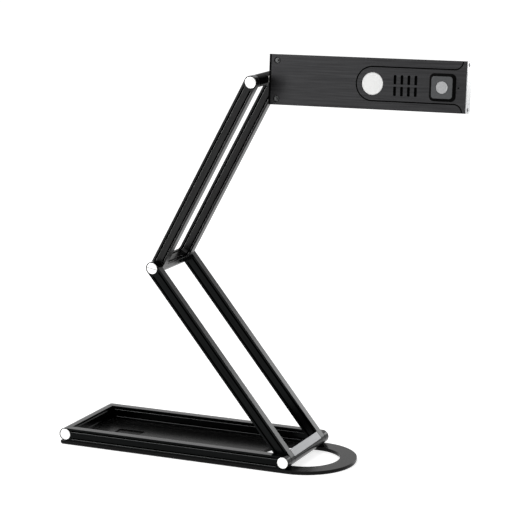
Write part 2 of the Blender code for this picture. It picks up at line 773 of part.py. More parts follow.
def build_upper_arm(pins):
    """The upper arm: one U-shaped frame with filleted corners, open at the top hinge."""
    turn = -(UPPER_ARM_ANGLE + LOWER_ARM_ANGLE)
    arm = empty("upper_arm_pivot", (0, 0, 0), pins, (0, turn, 0))
    outer = UPPER_WIDTH / 2
    inner = UPPER_INNER / 2
    end = UPPER_ARM_LENGTH + RAIL_RADIUS + OVERRUN
    fillet = UPPER_BAR_FILLET
    corner = UPPER_BAR_REACH + fillet
    outline = [(-RAIL_RADIUS - OVERRUN, -outer), (end, -outer), (end, -inner)]
    outline += arc((corner, fillet - inner), fillet, 270, 180, CORNER_STEPS)
    outline += arc((corner, inner - fillet), fillet, 180, 90, CORNER_STEPS)
    outline += [(end, inner), (end, outer), (-RAIL_RADIUS - OVERRUN, outer)]
    frame = piece(
        "upper_arm_frame",
        extruded("frame", [outline], -RAIL_RADIUS, RAIL_RADIUS),
        "black_aluminium",
        arm,
    )
    side = obround(0, UPPER_ARM_LENGTH, RAIL_RADIUS)
    rounding = extruded("rounding", [side], -BASE_WIDTH, BASE_WIDTH, axes="xzy")
    boolean(frame, cutter("cut_upper_rounding", rounding, arm), "INTERSECT")

    reach = UPPER_ARM_LENGTH - GROOVE_END
    grown = fillet + GROOVE_DEPTH
    loop = [(reach, -inner - GROOVE_DEPTH)]
    loop += arc((corner, fillet - inner), grown, 270, 180, CORNER_STEPS)
    loop += arc((corner, inner - fillet), grown, 180, 90, CORNER_STEPS)
    loop += [(reach, inner + GROOVE_DEPTH)]
    bodies = [shaft_bore()]
    for level in (-GROOVE_HEIGHT, GROOVE_HEIGHT):
        floor = level - GROOVE_WIDTH / 2
        ceiling = level + GROOVE_WIDTH / 2
        bodies.append(extruded("channel", [loop], floor, ceiling))
        for bar_side in (-1, 1):
            low = (GROOVE_END, bar_side * outer - GROOVE_DEPTH, floor)
            high = (reach, bar_side * outer + GROOVE_DEPTH, ceiling)
            bodies.append(block("groove", low, high))
    for bar_side in (-1, 1):
        bodies.append(hinge_space(bar_side, UPPER_WIDTH, UPPER_ARM_LENGTH))
    cut_out(frame, bodies)

    top = empty("upper_arm_pins", (UPPER_ARM_LENGTH, 0, 0), arm)
    hinge_hardware("top_hinge", UPPER_WIDTH, top)
    return top


def build_knuckle(top):
    """The knuckle that tilts on the top hinge and carries the head's swivel shaft."""
    tilt = empty("head_tilt_pivot", (0, 0, 0), top, (0, UPPER_ARM_ANGLE - HEAD_RISE, 0))
    reach = UPPER_INNER / 2 - NEST_GAP
    nose_end = HEAD_START - 2 * SEAT_GAP - SWIVEL_FLANGE_THICK
    flat = math.degrees(math.acos(nose_end / KNUCKLE_RADIUS))
    outline = arc((0, 0), KNUCKLE_RADIUS, flat, 360 - flat, ROUND_STEPS)
    knuckle = piece(
        "hinge_knuckle",
        extruded("knuckle", [outline], -reach, reach, axes="xzy"),
        "black_steel",
        tilt,
    )
    boolean(knuckle, cutter("cut_knuckle_bore", shaft_bore(), tilt))
    seat = rod("seat", SWIVEL_RADIUS + BORE_GAP, SHAFT_RADIUS, HEAD_START, "x")
    boolean(knuckle, cutter("cut_knuckle_seat", seat, tilt))
    foot = SHAFT_RADIUS + 2 * BORE_GAP
    flange = nose_end + SEAT_GAP
    tail = SHELL_START + HEAD_WALL + SWIVEL_TAIL
    profile = (
        (0, tail),
        (SWIVEL_RADIUS - CAP_CHAMFER, tail),
        (SWIVEL_RADIUS, tail - CAP_CHAMFER),
        (SWIVEL_RADIUS, flange + SWIVEL_FLANGE_THICK),
        (SWIVEL_FLANGE_RADIUS, flange + SWIVEL_FLANGE_THICK),
        (SWIVEL_FLANGE_RADIUS, flange),
        (SWIVEL_RADIUS, flange),
        (SWIVEL_RADIUS, foot),
        (0, foot),
    )
    shaft = placed(turned("swivel", profile), Matrix.Rotation(90 * DEGREE, 4, "Y"))
    piece("swivel_shaft", shaft, "steel", tilt)
    return empty("head_swivel_pivot", (0, 0, 0), tilt, (-HEAD_TURN, 0, 0))


def section(inset, front):
    """The head's cross-section, flat in front and rounded at the back, as (across, deep) points."""
    half = HEAD_WIDTH / 2 - inset
    back = HEAD_THICK / 2 - inset
    radius = HEAD_BACK_RADIUS - inset
    outline = [(front, -half)]
    outline += arc((back - radius, radius - half), radius, 270, 360, CORNER_STEPS)
    outline += arc((back - radius, half - radius), radius, 0, 90, CORNER_STEPS)
    outline += [(front, half)]
    return outline


def head_shell(head):
    """The housing: a trough with rounded back edges, its bosses, and the plates at both ends."""
    outer = extruded("shell", [section(0, SHELL_FRONT)], SHELL_START, SHELL_END, axes="yzx")
    shell = piece("head_housing", outer, "black_aluminium", head)
    inner = section(HEAD_WALL, SHELL_FRONT - OVERRUN)
    cavity = extruded("cavity", [inner], SHELL_START + HEAD_WALL, SHELL_END + OVERRUN, axes="yzx")
    boolean(shell, cutter("cut_head_cavity", cavity, head))
    sunk = HEAD_THICK / 2 - HEAD_WALL / 2
    for i, place in enumerate(face_screw_places()):
        boss = rod("boss", BOSS_RADIUS, SHELL_FRONT, sunk, "y", place, SMALL_STEPS)
        boolean(shell, cutter(f"join_boss_{i}", boss, head), "UNION")
        boolean(shell, bpy.data.objects[f"cut_face_screw_{i}"])
    for i, side in enumerate((-1, 1)):
        wall = HEAD_WIDTH / 2 - HEAD_WALL / 2
        ends = sorted((side * (wall - CORNER_POST), side * wall))
        low = (SHELL_END - CORNER_POST_LENGTH, SHELL_FRONT, ends[0])
        high = (SHELL_END, HEAD_THICK / 2 - HEAD_BACK_RADIUS, ends[1])
        boolean(shell, cutter(f"join_post_{i}", block("post", low, high), head), "UNION")
        boolean(shell, bpy.data.objects[f"cut_end_screw_{i}"])
    for i, x in enumerate(board_post_places()):
        post = rod(
            "post", BOARD_POST_RADIUS, board_back() + SEAT_GAP, sunk, "y", (x, 0), SMALL_STEPS
        )
        boolean(shell, cutter(f"join_board_post_{i}", post, head), "UNION")
    swivel = rod("swivel", SWIVEL_RADIUS + BORE_GAP, 0, SHELL_START + 2 * HEAD_WALL, "x")
    boolean(shell, cutter("cut_shell_swivel", swivel, head))
    half = USB_WIDTH / 2 + BORE_GAP
    deep = USB_HEIGHT / 2 + BORE_GAP
    low = (USB_PLACE - half, usb_centre() - deep, -HEAD_WIDTH)
    high = (USB_PLACE + half, usb_centre() + deep, -HEAD_WIDTH / 2 + 2 * HEAD_WALL)
    boolean(shell, cutter("cut_shell_usb", block("usb", low, high), head))


def face_screw_places():
    """The two screws at the hinge end of the face."""
    return [(FACE_SCREW_PLACE, side * FACE_SCREW_SPREAD) for side in (-1, 1)]


def board_post_places():
    """Where posts on the housing's back carry the main board."""
    return (MAIN_BOARD_START + BOARD_POST_MARGIN, MAIN_BOARD_END - BOARD_POST_MARGIN)


def board_back():
    """Depth of the main board's back face."""
    return HEAD_THICK / 2 - HEAD_WALL - BOARD_POST_HEIGHT


def head_screw_holes(head):
    """The holes of the face's and the end plate's screws, which several pieces share."""
    for i, place in enumerate(face_screw_places()):
        depth = FACE_SCREW_HEAD_THICK
        bore = FACE_SCREW_RADIUS + BORE_GAP
        mouth = FACE_SCREW_HEAD + BORE_GAP
        profile = (
            (0, OVERRUN),
            (mouth, OVERRUN),
            (mouth, -depth),
            (bore, -depth),
            (bore, -FACE_SCREW_LENGTH - SEAT_GAP),
            (0, -FACE_SCREW_LENGTH - SEAT_GAP),
        )
        hole = on_side(turned("hole", profile), -1, place, -HEAD_FRONT)
        cutter(f"cut_face_screw_{i}", hole, head)
    for i, place in enumerate(end_screw_places()):
        hole = countersink(*END_PLATE_SCREW)
        cutter(f"cut_end_screw_{i}", placed(hole, facing_end(place)), head)


def facing_end(place):
    """The matrix that stands a screw in the end plate, its head out."""
    turn = Matrix.Rotation(-90 * DEGREE, 4, "Y")
    return Matrix.Translation((HEAD_END, *place)) @ turn


def usb_centre():
    """Depth of the USB socket's middle, which seats on the main board's front."""
    return board_back() - MAIN_BOARD_THICK - SEAT_GAP - USB_HEIGHT / 2


def end_screw_places():
    """The two screws of the end plate, at the middle of the corner posts' depth."""
    middle = (SHELL_FRONT + HEAD_THICK / 2 - HEAD_BACK_RADIUS) / 2
    return [(middle, side * END_SCREW_SPREAD) for side in (-1, 1)]


def head_ends(head):
    """The black plate at the hinge end and the polished plate at the free end, with its screws."""
    outline = section(0, HEAD_FRONT)
    root_end = HEAD_START + ROOT_PLATE_THICK
    root = extruded("root", [outline], HEAD_START, root_end, axes="yzx")
    root_plate = piece("head_root_plate", root, "black_nylon", head)
    swivel = rod("swivel", SWIVEL_RADIUS + BORE_GAP, 0, HEAD_START + 2 * ROOT_PLATE_THICK, "x")
    boolean(root_plate, cutter("cut_root_swivel", swivel, head))

    end = extruded("end", [outline], HEAD_END - END_PLATE_THICK, HEAD_END, axes="yzx")
    end_plate = piece("head_end_plate", end, "polished_silver", head)
    for i, (place, label) in enumerate(zip(end_screw_places(), ("low", "high"))):
        boolean(end_plate, bpy.data.objects[f"cut_end_screw_{i}"])
        screw = placed(countersunk(*END_PLATE_SCREW), facing_end(place))
        piece(f"end_plate_screw_{label}", screw, "steel", head)


def tongue_outline(grow):
    """The face's middle panel: round about the lamp, straight, then flared to the free end."""
    half = TONGUE_RADIUS + grow
    edge = HEAD_WIDTH / 2
    radius = edge - half
    start = FLARE_END - grow - radius
    outline = arc((LAMP_PLACE, 0), half, 90, 270, ROUND_STEPS // 2)
    outline += arc((start, -edge), radius, 90, 0, CORNER_STEPS)
    end = HEAD_END - END_PLATE_THICK - SEAT_GAP
    outline += [(end + grow, -edge), (end + grow, edge)]
    outline += arc((start, edge), radius, 0, -90, CORNER_STEPS)
    return outline


def head_face(head):
    """The two brushed plates of the face, with their openings, and the screws at the hinge end."""
    start = HEAD_START + ROOT_PLATE_THICK + SEAT_GAP
    end = HEAD_END - END_PLATE_THICK - SEAT_GAP
    low, high = HEAD_FRONT, PANEL_BACK
    edge = HEAD_WIDTH / 2
    outline = [(start, -edge), (end, -edge), (end, edge), (start, edge)]
    panel = piece(
        "head_front_panel",
        extruded("panel", [outline], low, high, axes="xzy"),
        "brushed_black",
        head,
    )
    room = tongue_outline(PANEL_GAP)
    grown = [(x, z * (1 + OVERRUN / edge) if abs(z) >= edge else z) for x, z in room]
    tongue_room = extruded("room", [grown], low - OVERRUN, high + OVERRUN, axes="xzy")
    boolean(panel, cutter("cut_panel_tongue", tongue_room, head))
    for i in range(len(face_screw_places())):
        boolean(panel, bpy.data.objects[f"cut_face_screw_{i}"])

    outlines = [tongue_outline(0)]
    outlines.append(arc((LAMP_PLACE, 0), LAMP_RADIUS + BORE_GAP, 0, 360, FINE_STEPS)[:-1])
    for row in (-1, 1):
        for i in range(SLOT_COUNT):
            x = SLOTS_PLACE + SLOT_PITCH * (i - (SLOT_COUNT - 1) / 2)
            z = row * SLOT_ROW_PITCH / 2 - LENS_DROP
            a, b = SLOT_WIDTH / 2, SLOT_LENGTH / 2
            slot = rounded_rectangle((x - a, z - b), (x + a, z + b), SLOT_CORNER, TINY_STEPS)
            outlines.append(slot)
    window = LENS_PLATE / 2 + BORE_GAP
    outlines.append(
        rounded_rectangle(
            (LENS_PLACE - window, -LENS_DROP - window),
            (LENS_PLACE + window, window - LENS_DROP),
            LENS_PLATE_CORNER,
        )
    )
    outlines.append(arc((PINHOLE_PLACE, -LENS_DROP), PINHOLE_RADIUS, 0, 360, SMALL_STEPS)[:-1])
    piece(
        "head_tongue_panel",
        extruded("tongue", outlines, low, high, axes="xzy"),
        "brushed_black",
        head,
    )
    for place, label in zip(face_screw_places(), ("low", "high")):
        profile = (
            (0, -FACE_SCREW_HEAD_THICK * TIP_SHARE),
            (FACE_SCREW_SOCKET, -FACE_SCREW_HEAD_THICK * TIP_SHARE),
            (FACE_SCREW_SOCKET, -CAP_CROWN),
            (FACE_SCREW_HEAD - CAP_CROWN, -CAP_CROWN),
            (FACE_SCREW_HEAD, -2 * CAP_CROWN),
            (FACE_SCREW_HEAD, SEAT_GAP - FACE_SCREW_HEAD_THICK),
            (FACE_SCREW_RADIUS, SEAT_GAP - FACE_SCREW_HEAD_THICK),
            (FACE_SCREW_RADIUS, -FACE_SCREW_LENGTH),
            (0, -FACE_SCREW_LENGTH),
        )
        screw = on_side(turned("screw", profile), -1, place, -low)
        piece(f"face_screw_{label}", screw, "steel", head)


def head_lamp(head):
    """The white lamp diffuser and the board of light sources behind it."""
    front = HEAD_FRONT + LAMP_RECESS
    back = PANEL_BACK + SEAT_GAP
    profile = (
        (0, 0),
        (LAMP_RADIUS - CAP_CROWN, 0),
        (LAMP_RADIUS, -CAP_CROWN),
        (LAMP_RADIUS, front - back),
        (LAMP_FLANGE_RADIUS, front - back),
        (LAMP_FLANGE_RADIUS, front - back - LAMP_THICK),
        (0, front - back - LAMP_THICK),
    )
    disc = on_side(turned("lamp", profile, FINE_STEPS), -1, (LAMP_PLACE, 0), -front)
    piece("lamp_diffuser", disc, "white_diffuser", head)
    low = back + LAMP_THICK + SEAT_GAP
    board = rod("board", LAMP_RADIUS, low, low + LAMP_BOARD_THICK, "y", (LAMP_PLACE, 0))
    piece("lamp_board", board, "circuit_green", head)


def frustum(name, place, foot, top, foot_corner, low, high):
    """A raised square surround with sloping sides, between two rounded squares."""
    corner = foot_corner * top / foot
    loops = []
    for size, radius in ((foot, foot_corner), (top, corner)):
        half = size / 2
        points = rounded_rectangle((-half, -half), (half, half), radius)
        loops.append([(place[0] + x, place[1] + z) for x, z in points])
    solid = bmesh.new()
    rings = []
    for points, depth in zip(loops, (low, high)):
        rings.append([solid.verts.new((x, depth, z)) for x, z in points])
    count = len(rings[0])
    for i in range(count):
        j = (i + 1) % count
        solid.faces.new((rings[0][i], rings[0][j], rings[1][j], rings[1][i]))
    solid.faces.new(rings[0])
    solid.faces.new(rings[1])
    bmesh.ops.remove_doubles(solid, verts=solid.verts, dist=SMALLEST_MERGE)
    bmesh.ops.recalc_face_normals(solid, faces=solid.faces)
    mesh = bpy.data.meshes.new(name)
    solid.to_mesh(mesh)
    solid.free()
    return mesh


def head_lens(head):
    """The raised lens surround with its plate, barrel, glass and image sensor."""
    place = (LENS_PLACE, -LENS_DROP)
    foot = HEAD_FRONT - SEAT_GAP
    crest = HEAD_FRONT - BEZEL_HEIGHT
    bezel = piece(
        "lens_bezel",
        frustum("bezel", place, BEZEL_FOOT, BEZEL_TOP, BEZEL_CORNER, foot, crest),
        "black_nylon",
        head,
    )
    half = LENS_PLATE / 2 + SEAT_GAP
    low = (place[0] - half, place[1] - half)
    high = (place[0] + half, place[1] + half)
    deep = crest + LENS_PLATE_SINK + LENS_PLATE_THICK + SEAT_GAP
    seat = rounded_rectangle(low, high, LENS_PLATE_CORNER + SEAT_GAP)
    recess = extruded("recess", [seat], crest - OVERRUN, deep, axes="xzy")
    boolean(bezel, cutter("cut_bezel_seat", recess, head))
    tunnel = rod(
        "tunnel", LENS_BARREL_RADIUS + BORE_GAP, crest - OVERRUN, HEAD_FRONT + OVERRUN, "y", place
    )
    boolean(bezel, cutter("cut_bezel_tunnel", tunnel, head))

    half = LENS_PLATE / 2
    low = (place[0] - half, place[1] - half)
    high = (place[0] + half, place[1] + half)
    outline = rounded_rectangle(low, high, LENS_PLATE_CORNER)
    hole = arc(place, LENS_GLASS_RADIUS + BORE_GAP, 0, 360, ROUND_STEPS)[:-1]
    front = crest + LENS_PLATE_SINK
    plate = extruded("plate", [outline, hole], front, front + LENS_PLATE_THICK, axes="xzy")
    piece("lens_plate", plate, "grey_plate", head)

    glass_back = front + LENS_GLASS_THICK
    radius = LENS_GLASS_RADIUS
    profile = (
        (0, 0),
        (radius * CROWN_EDGE_SHARE, -CAP_CROWN * CROWN_DROP_SHARE),
        (radius, -CAP_CROWN),
        (radius, -LENS_GLASS_THICK),
        (0, -LENS_GLASS_THICK),
    )
    glass = on_side(turned("glass", profile), -1, place, -front)
    piece("lens_glass", glass, "lens_glass", head)

    barrel_front = glass_back + SEAT_GAP
    barrel_back = board_back() - MAIN_BOARD_THICK - SEAT_GAP - SENSOR_THICK - SEAT_GAP
    bore = LENS_BARREL_RADIUS - LENS_BARREL_WALL
    profile = ring_profile(bore, LENS_BARREL_RADIUS, -barrel_back, -barrel_front)
    barrel = on_side(turned("barrel", profile), -1, place, 0)
    piece("lens_barrel", barrel, "black_nylon", head)
    half = SENSOR_SIZE / 2
    low = (place[0] - half, barrel_back + SEAT_GAP, place[1] - half)
    high = (place[0] + half, barrel_back + SEAT_GAP + SENSOR_THICK, place[1] + half)
    piece("image_sensor", block("sensor", low, high), "circuit_green", head, smooth=False)


def head_insides(head):
    """The main board, the microphone behind the slots, the USB socket and the swivel's nut."""
    back = board_back()
    half = MAIN_BOARD_WIDTH / 2
    low = (MAIN_BOARD_START, back - MAIN_BOARD_THICK, -half)
    high = (MAIN_BOARD_END, back, half)
    piece("main_board", block("board", low, high), "circuit_green", head, smooth=False)

    length, width, thick = MICROPHONE_SIZE
    top = PANEL_BACK + SEAT_GAP
    low = (SLOTS_PLACE - length / 2, top, -LENS_DROP - width / 2)
    high = (SLOTS_PLACE + length / 2, top + thick, width / 2 - LENS_DROP)
    piece("microphone", block("microphone", low, high), "black_nylon", head, smooth=False)

    half = USB_WIDTH / 2
    deep = USB_HEIGHT / 2
    mouth = -HEAD_WIDTH / 2
    middle = usb_centre()
    low = (USB_PLACE - half, middle - deep)
    high = (USB_PLACE + half, middle + deep)
    outline = rounded_rectangle(low, high, USB_CORNER, TINY_STEPS)
    shell = extruded("usb", [outline], mouth, mouth + USB_DEPTH)
    socket = piece("usb_socket", shell, "steel", head)
    low = (USB_PLACE - half + USB_WALL, middle - deep + USB_WALL, mouth - OVERRUN)
    high = (USB_PLACE + half - USB_WALL, middle + deep - USB_WALL, mouth + USB_DEPTH - USB_WALL)
    boolean(socket, cutter("cut_usb_mouth", block("mouth", low, high), head))
    low = (USB_PLACE - half / 2, middle - USB_TONGUE_THICK / 2, mouth + USB_WALL)
    high = (USB_PLACE + half / 2, middle + USB_TONGUE_THICK / 2, mouth + USB_DEPTH - USB_WALL / 2)
    boolean(socket, cutter("join_usb_tongue", block("tongue", low, high), head), "UNION")

    inside = SHELL_START + HEAD_WALL + SEAT_GAP
    bore = SWIVEL_RADIUS + BORE_GAP
    washer = ring_between(SWIVEL_WASHER_RADIUS, bore, inside, SWIVEL_WASHER_THICK, ROUND_STEPS)
    piece("swivel_washer", washer, "steel", head)
    nut_start = inside + SWIVEL_WASHER_THICK + SEAT_GAP
    nut = ring_between(SWIVEL_NUT_RADIUS, bore, nut_start, SWIVEL_NUT_THICK, NUT_SIDES)
    piece("swivel_nut", nut, "steel", head, smooth=False)


def ring_between(radius, bore, start, thick, sides):
    """A washer or nut about the head's axis, with its flats towards the face."""
    half_side = 180 / sides
    ring = arc((0, 0), radius, half_side, half_side + 360, sides)[:-1]
    hole = arc((0, 0), bore, 0, 360, ROUND_STEPS)[:-1]
    return extruded("ring", [ring, hole], start, start + thick, axes="yzx")


def build_head(head):
    """The camera head on its swivel."""
    head_screw_holes(head)
    head_shell(head)
    head_ends(head)
    head_face(head)
    head_lamp(head)
    head_lens(head)
    head_insides(head)


def main():
    """Build the whole document camera in its pose of use."""
    for obj in list(bpy.data.objects):
        bpy.data.objects.remove(obj, do_unlink=True)
    hinge = build_base()
    pins = build_lower_arm(hinge)
    top = build_upper_arm(pins)
    head = build_knuckle(top)
    build_head(head)
    bpy.context.view_layer.update()


main()
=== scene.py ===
"""Looks of a folding document camera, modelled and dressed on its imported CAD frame.

Every sub-assembly of the camera is a class: its fields are real sizes, and its methods model the
pieces that the camera shows with mesh operators and give them their finishes. All lengths are in
metres.
"""

import json
import logging
import math
from collections.abc import Callable, Iterator
from contextlib import contextmanager
from dataclasses import dataclass, field
from enum import Enum, IntEnum
from typing import ClassVar

import bpy
from mathutils import Matrix, Vector


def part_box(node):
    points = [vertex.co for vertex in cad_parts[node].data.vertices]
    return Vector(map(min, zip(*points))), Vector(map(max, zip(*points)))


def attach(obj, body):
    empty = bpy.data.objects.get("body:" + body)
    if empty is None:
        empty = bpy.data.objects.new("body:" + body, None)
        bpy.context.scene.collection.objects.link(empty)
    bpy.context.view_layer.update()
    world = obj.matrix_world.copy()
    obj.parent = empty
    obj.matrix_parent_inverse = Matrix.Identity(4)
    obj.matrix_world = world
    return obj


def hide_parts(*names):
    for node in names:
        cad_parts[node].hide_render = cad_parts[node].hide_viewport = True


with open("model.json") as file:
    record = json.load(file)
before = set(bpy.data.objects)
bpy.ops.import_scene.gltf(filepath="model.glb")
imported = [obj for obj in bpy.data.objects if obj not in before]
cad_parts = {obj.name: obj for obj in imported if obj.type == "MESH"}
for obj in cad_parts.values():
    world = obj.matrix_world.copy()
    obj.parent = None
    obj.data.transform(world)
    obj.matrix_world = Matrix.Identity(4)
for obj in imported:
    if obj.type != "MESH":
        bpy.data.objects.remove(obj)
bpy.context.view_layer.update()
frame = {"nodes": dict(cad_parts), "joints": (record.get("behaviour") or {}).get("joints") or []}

logging.basicConfig(level=logging.INFO, format="%(levelname)s %(name)s: %(message)s")
LOG = logging.getLogger("document_camera")

MM = 0.001
# Points nearer than this are one point.
MERGE = 0.01 * MM
# How far a cutting body stands out of the piece.
OVERRUN = 2.0 * MM
# Edges sharper than this are rounded, and stay crisp in the shading.
SHARP = math.radians(28)
# A direction's share along an axis: above the first it runs along it, below the second square to it.
ALONG = 0.9
ACROSS = 0.1
# Down and up an axis.
WAYS = (-1, 1)
Piece = bpy.types.Object
Tree = bpy.types.NodeTree
Node = bpy.types.Node
Socket = bpy.types.NodeSocket
Material = bpy.types.Material
Test = Callable[[Vector, Vector], bool]
Where = Callable[[Vector], bool]
Span = tuple[float, float]
Spans = tuple[Span, ...]
Triple = tuple[float, float, float]


class Body(str, Enum):
    """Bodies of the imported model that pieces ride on."""

    BASE = "base"
    LOWER_ARM = "lower_arm"
    UPPER_ARM = "upper_arm"
    KNUCKLE = "knuckle"
    HEAD = "head"


class Pick(Enum):
    """Which elements an edit works on."""

    EDGES = (False, True, False)
    FACES = (False, False, True)


class Operation(Enum):
    """What a Boolean does."""

    CUT = "DIFFERENCE"
    JOIN = "UNION"


class Axis(Enum):
    """The axes, with the turn that lays a cylinder along each."""

    X = (0, math.pi / 2, 0)
    Y = (-math.pi / 2, 0, 0)
    Z = (0, 0, 0)

    @property
    def word(self) -> str:
        """The axis's name in a vector."""
        return self.name.lower()

    def of(self, vector: Vector) -> float:
        """What a vector measures along the axis."""
        return getattr(vector, self.word)


class Side(Enum):
    """Sides of the arm, by the way they face along Y."""

    NEAR = -1
    FAR = 1

    @property
    def word(self) -> str:
        """The side's name in the names of nodes and pieces."""
        return self.name.lower()

    def depths(self, first: float, second: float) -> list[float]:
        """Two distances from the middle as depths on this side, the lower first."""
        return sorted((self.value * first, self.value * second))


class Steps(IntEnum):
    """Corners of a circle, by what it makes."""

    HEXAGON = 6
    THREAD = 24
    BORE = 32
    SEAT = 48
    SHAFT = 64
    POCKET = 72
    KNUCKLE = 80
    DISC = 96
    LAMP = 128


class Arc(IntEnum):
    """Faces across a rounded edge, by what it rounds."""

    TINY = 4
    SMALL = 6
    CORNER = 8
    FILLET = 10
    BACK = 12
    RAIL = 20
    OPENING = 40
    RING = 56


# Frames of the arm


@dataclass(frozen=True)
class Pose:
    """Places and turns of the arm in the photographed pose."""

    lower_angle: float = math.radians(51.1)
    upper_angle: float = math.radians(61.2)
    head_rise: float = math.radians(0.5)
    head_turn: float = math.radians(6.0)

    def pin(self, joint: str) -> Vector:
        """The place of a joint's axis, from the record."""
        found = next(j for j in frame["joints"] if j["name"] == joint)
        return Vector(found["pos_m"])

    def reach(self, first: str, second: str) -> float:
        """The distance between the axes of two joints."""
        return (self.pin(first) - self.pin(second)).length

    def base(self) -> Matrix:
        """Frame of the tray's rails: origin at the base pins, the tray along -X."""
        return Matrix.Translation(self.pin("base_hinge"))

    def lower(self) -> Matrix:
        """Frame of the lower arm: origin at the base pins, the arm along -X."""
        return self.base() @ Matrix.Rotation(self.lower_angle, 4, "Y")

    def upper(self) -> Matrix:
        """Frame of the upper arm: origin at the middle pins, the arm along +X."""
        return Matrix.Translation(self.pin("mid_hinge")) @ Matrix.Rotation(-self.upper_angle, 4, "Y")

    def knuckle(self) -> Matrix:
        """Frame of the knuckle: origin at the top pins, the head's axis along +X."""
        return Matrix.Translation(self.pin("head_tilt")) @ Matrix.Rotation(-self.head_rise, 4, "Y")

    def head(self) -> Matrix:
        """Frame of the head: the knuckle's frame, turned so that the face looks along -Y."""
        return self.knuckle() @ Matrix.Rotation(-self.head_turn, 4, "X")


POSE = Pose()


# Modelling by hand


def anywhere(centre: Vector) -> bool:
    """Picks every place."""
    return True


def along(axis: Axis, where: Where = anywhere) -> Test:
    """A test for edges along an axis, or faces square to it, whose centre passes a second test."""
    return lambda centre, way: abs(axis.of(way)) > ALONG and where(centre)


def facing(axis: Axis, sign: int, where: Where = anywhere) -> Test:
    """A test for faces that look up (1) or down (-1) an axis, whose centre passes a second test."""
    return lambda centre, normal: sign * axis.of(normal) > ALONG and where(centre)


def on_axis(radius: float, place: float = 0.0) -> Where:
    """A test for centres within a radius of an axis along Y, at a place along X."""
    return lambda centre: math.hypot(centre.x - place, centre.z) < radius


def select_only(piece: Piece) -> None:
    """Makes a piece the only selected object and the active one.

    Args:
        piece: The object to work on.
    """
    bpy.ops.object.select_all(action="DESELECT")
    piece.select_set(True)
    bpy.context.view_layer.objects.active = piece


@contextmanager
def editing(piece: Piece, pick: Pick, test: Test | None = None) -> Iterator[None]:
    """Opens a piece in edit mode with chosen faces or edges selected.

    Args:
        piece: The mesh object to edit.
        pick: Whether the test picks faces or edges.
        test: Given a centre and a normal (an edge's direction), says what is selected. None is all.

    Yields:
        Nothing; the mesh is in edit mode inside the block.
    """
    select_only(piece)
    mesh = piece.data
    everything = test is None
    mesh.vertices.foreach_set("select", [everything] * len(mesh.vertices))
    mesh.edges.foreach_set("select", [everything] * len(mesh.edges))
    mesh.polygons.foreach_set("select", [everything] * len(mesh.polygons))
    if test is not None and pick is Pick.FACES:
        for face in mesh.polygons:
            face.select = test(face.center, face.normal)
    if test is not None and pick is Pick.EDGES:
        for edge in mesh.edges:
            start, end = (mesh.vertices[i].co for i in edge.vertices)
            edge.select = test((start + end) / 2, (end - start).normalized())
    bpy.context.tool_settings.mesh_select_mode = pick.value
    bpy.ops.object.mode_set(mode="EDIT")
    yield
    bpy.ops.object.mode_set(mode="OBJECT")


def named(name: str) -> Piece:
    """Names the active new object and applies its place, turn and scale.

    Args:
        name: Name of the piece and its mesh.

    Returns:
        The active object.
    """
    piece = bpy.context.view_layer.objects.active
    piece.name = name
    piece.data.name = name
    bpy.ops.object.transform_apply(location=True, rotation=True, scale=True)
    return piece


def block(name: str, low: Vector, high: Vector) -> Piece:
    """Adds a cube that fills the space between two corners.

    Args:
        name: Name of the piece.
        low: Lowest corner.
        high: Highest corner.

    Returns:
        The new object, its scale in its mesh.
    """
    low, high = Vector(low), Vector(high)
    bpy.ops.object.select_all(action="DESELECT")
    bpy.ops.mesh.primitive_cube_add(size=1, location=(low + high) / 2, scale=high - low)
    return named(name)


def disc(name: str, radius: float, low: float, high: float, centre: Vector,
         steps: int = Steps.SHAFT, axis: Axis = Axis.Y, tip: float | None = None) -> Piece:
    """Adds a cylinder, or a cone cut short, from low to high along an axis.

    Args:
        name: Name of the piece.
        radius: Radius at the low end.
        low: Where it starts on the axis.
        high: Where it ends on the axis.
        centre: A point on its axis.
        steps: Corners of its circle.
        axis: The axis.
        tip: Radius at the high end, where it differs.

    Returns:
        The new object, its place in its mesh.
    """
    place = Vector(centre)
    setattr(place, axis.word, (low + high) / 2)
    bpy.ops.object.select_all(action="DESELECT")
    bpy.ops.mesh.primitive_cone_add(vertices=steps, radius1=radius, depth=high - low, location=place,
                                    radius2=radius if tip is None else tip, rotation=axis.value)
    return named(name)


def copied(piece: Piece, name: str) -> Piece:
    """Copies a finished model, with a mesh of its own.

    Args:
        piece: The model.
        name: Name of the copy.

    Returns:
        The copy.
    """
    select_only(piece)
    bpy.ops.object.duplicate(linked=False)
    twin = bpy.context.view_layer.objects.active
    twin.name = name
    twin.data.name = name
    return twin


def settle(piece: Piece, place: Matrix) -> Piece:
    """Moves a piece to its place and writes the place into its mesh.

    Args:
        piece: The object, modelled in its own frame.
        place: Where that frame is.

    Returns:
        The same object, at the origin.
    """
    select_only(piece)
    piece.matrix_world = place
    bpy.context.view_layer.update()
    bpy.ops.object.transform_apply(location=True, rotation=True, scale=True)
    return piece


def apply_modifier(piece: Piece, kind: str, **settings: object) -> None:
    """Adds a modifier and applies it.

    Args:
        piece: The object to change.
        kind: Blender's name of the modifier.
        **settings: Its settings.
    """
    select_only(piece)
    modifier = piece.modifiers.new(kind.title(), kind)
    for key, value in settings.items():
        setattr(modifier, key, value)
    bpy.ops.object.modifier_apply(modifier=modifier.name)


def combine(piece: Piece, others: list[Piece], operation: Operation = Operation.CUT) -> Piece:
    """Cuts other objects out of a piece, or joins them to it, and removes them.

    Args:
        piece: The object that stays.
        others: The objects to cut out or join.
        operation: Whether they are cut out or joined.

    Returns:
        The same piece.
    """
    for other in others:
        apply_modifier(piece, "BOOLEAN", operation=operation.value, object=other, solver="EXACT")
        bpy.data.objects.remove(other)
    return piece


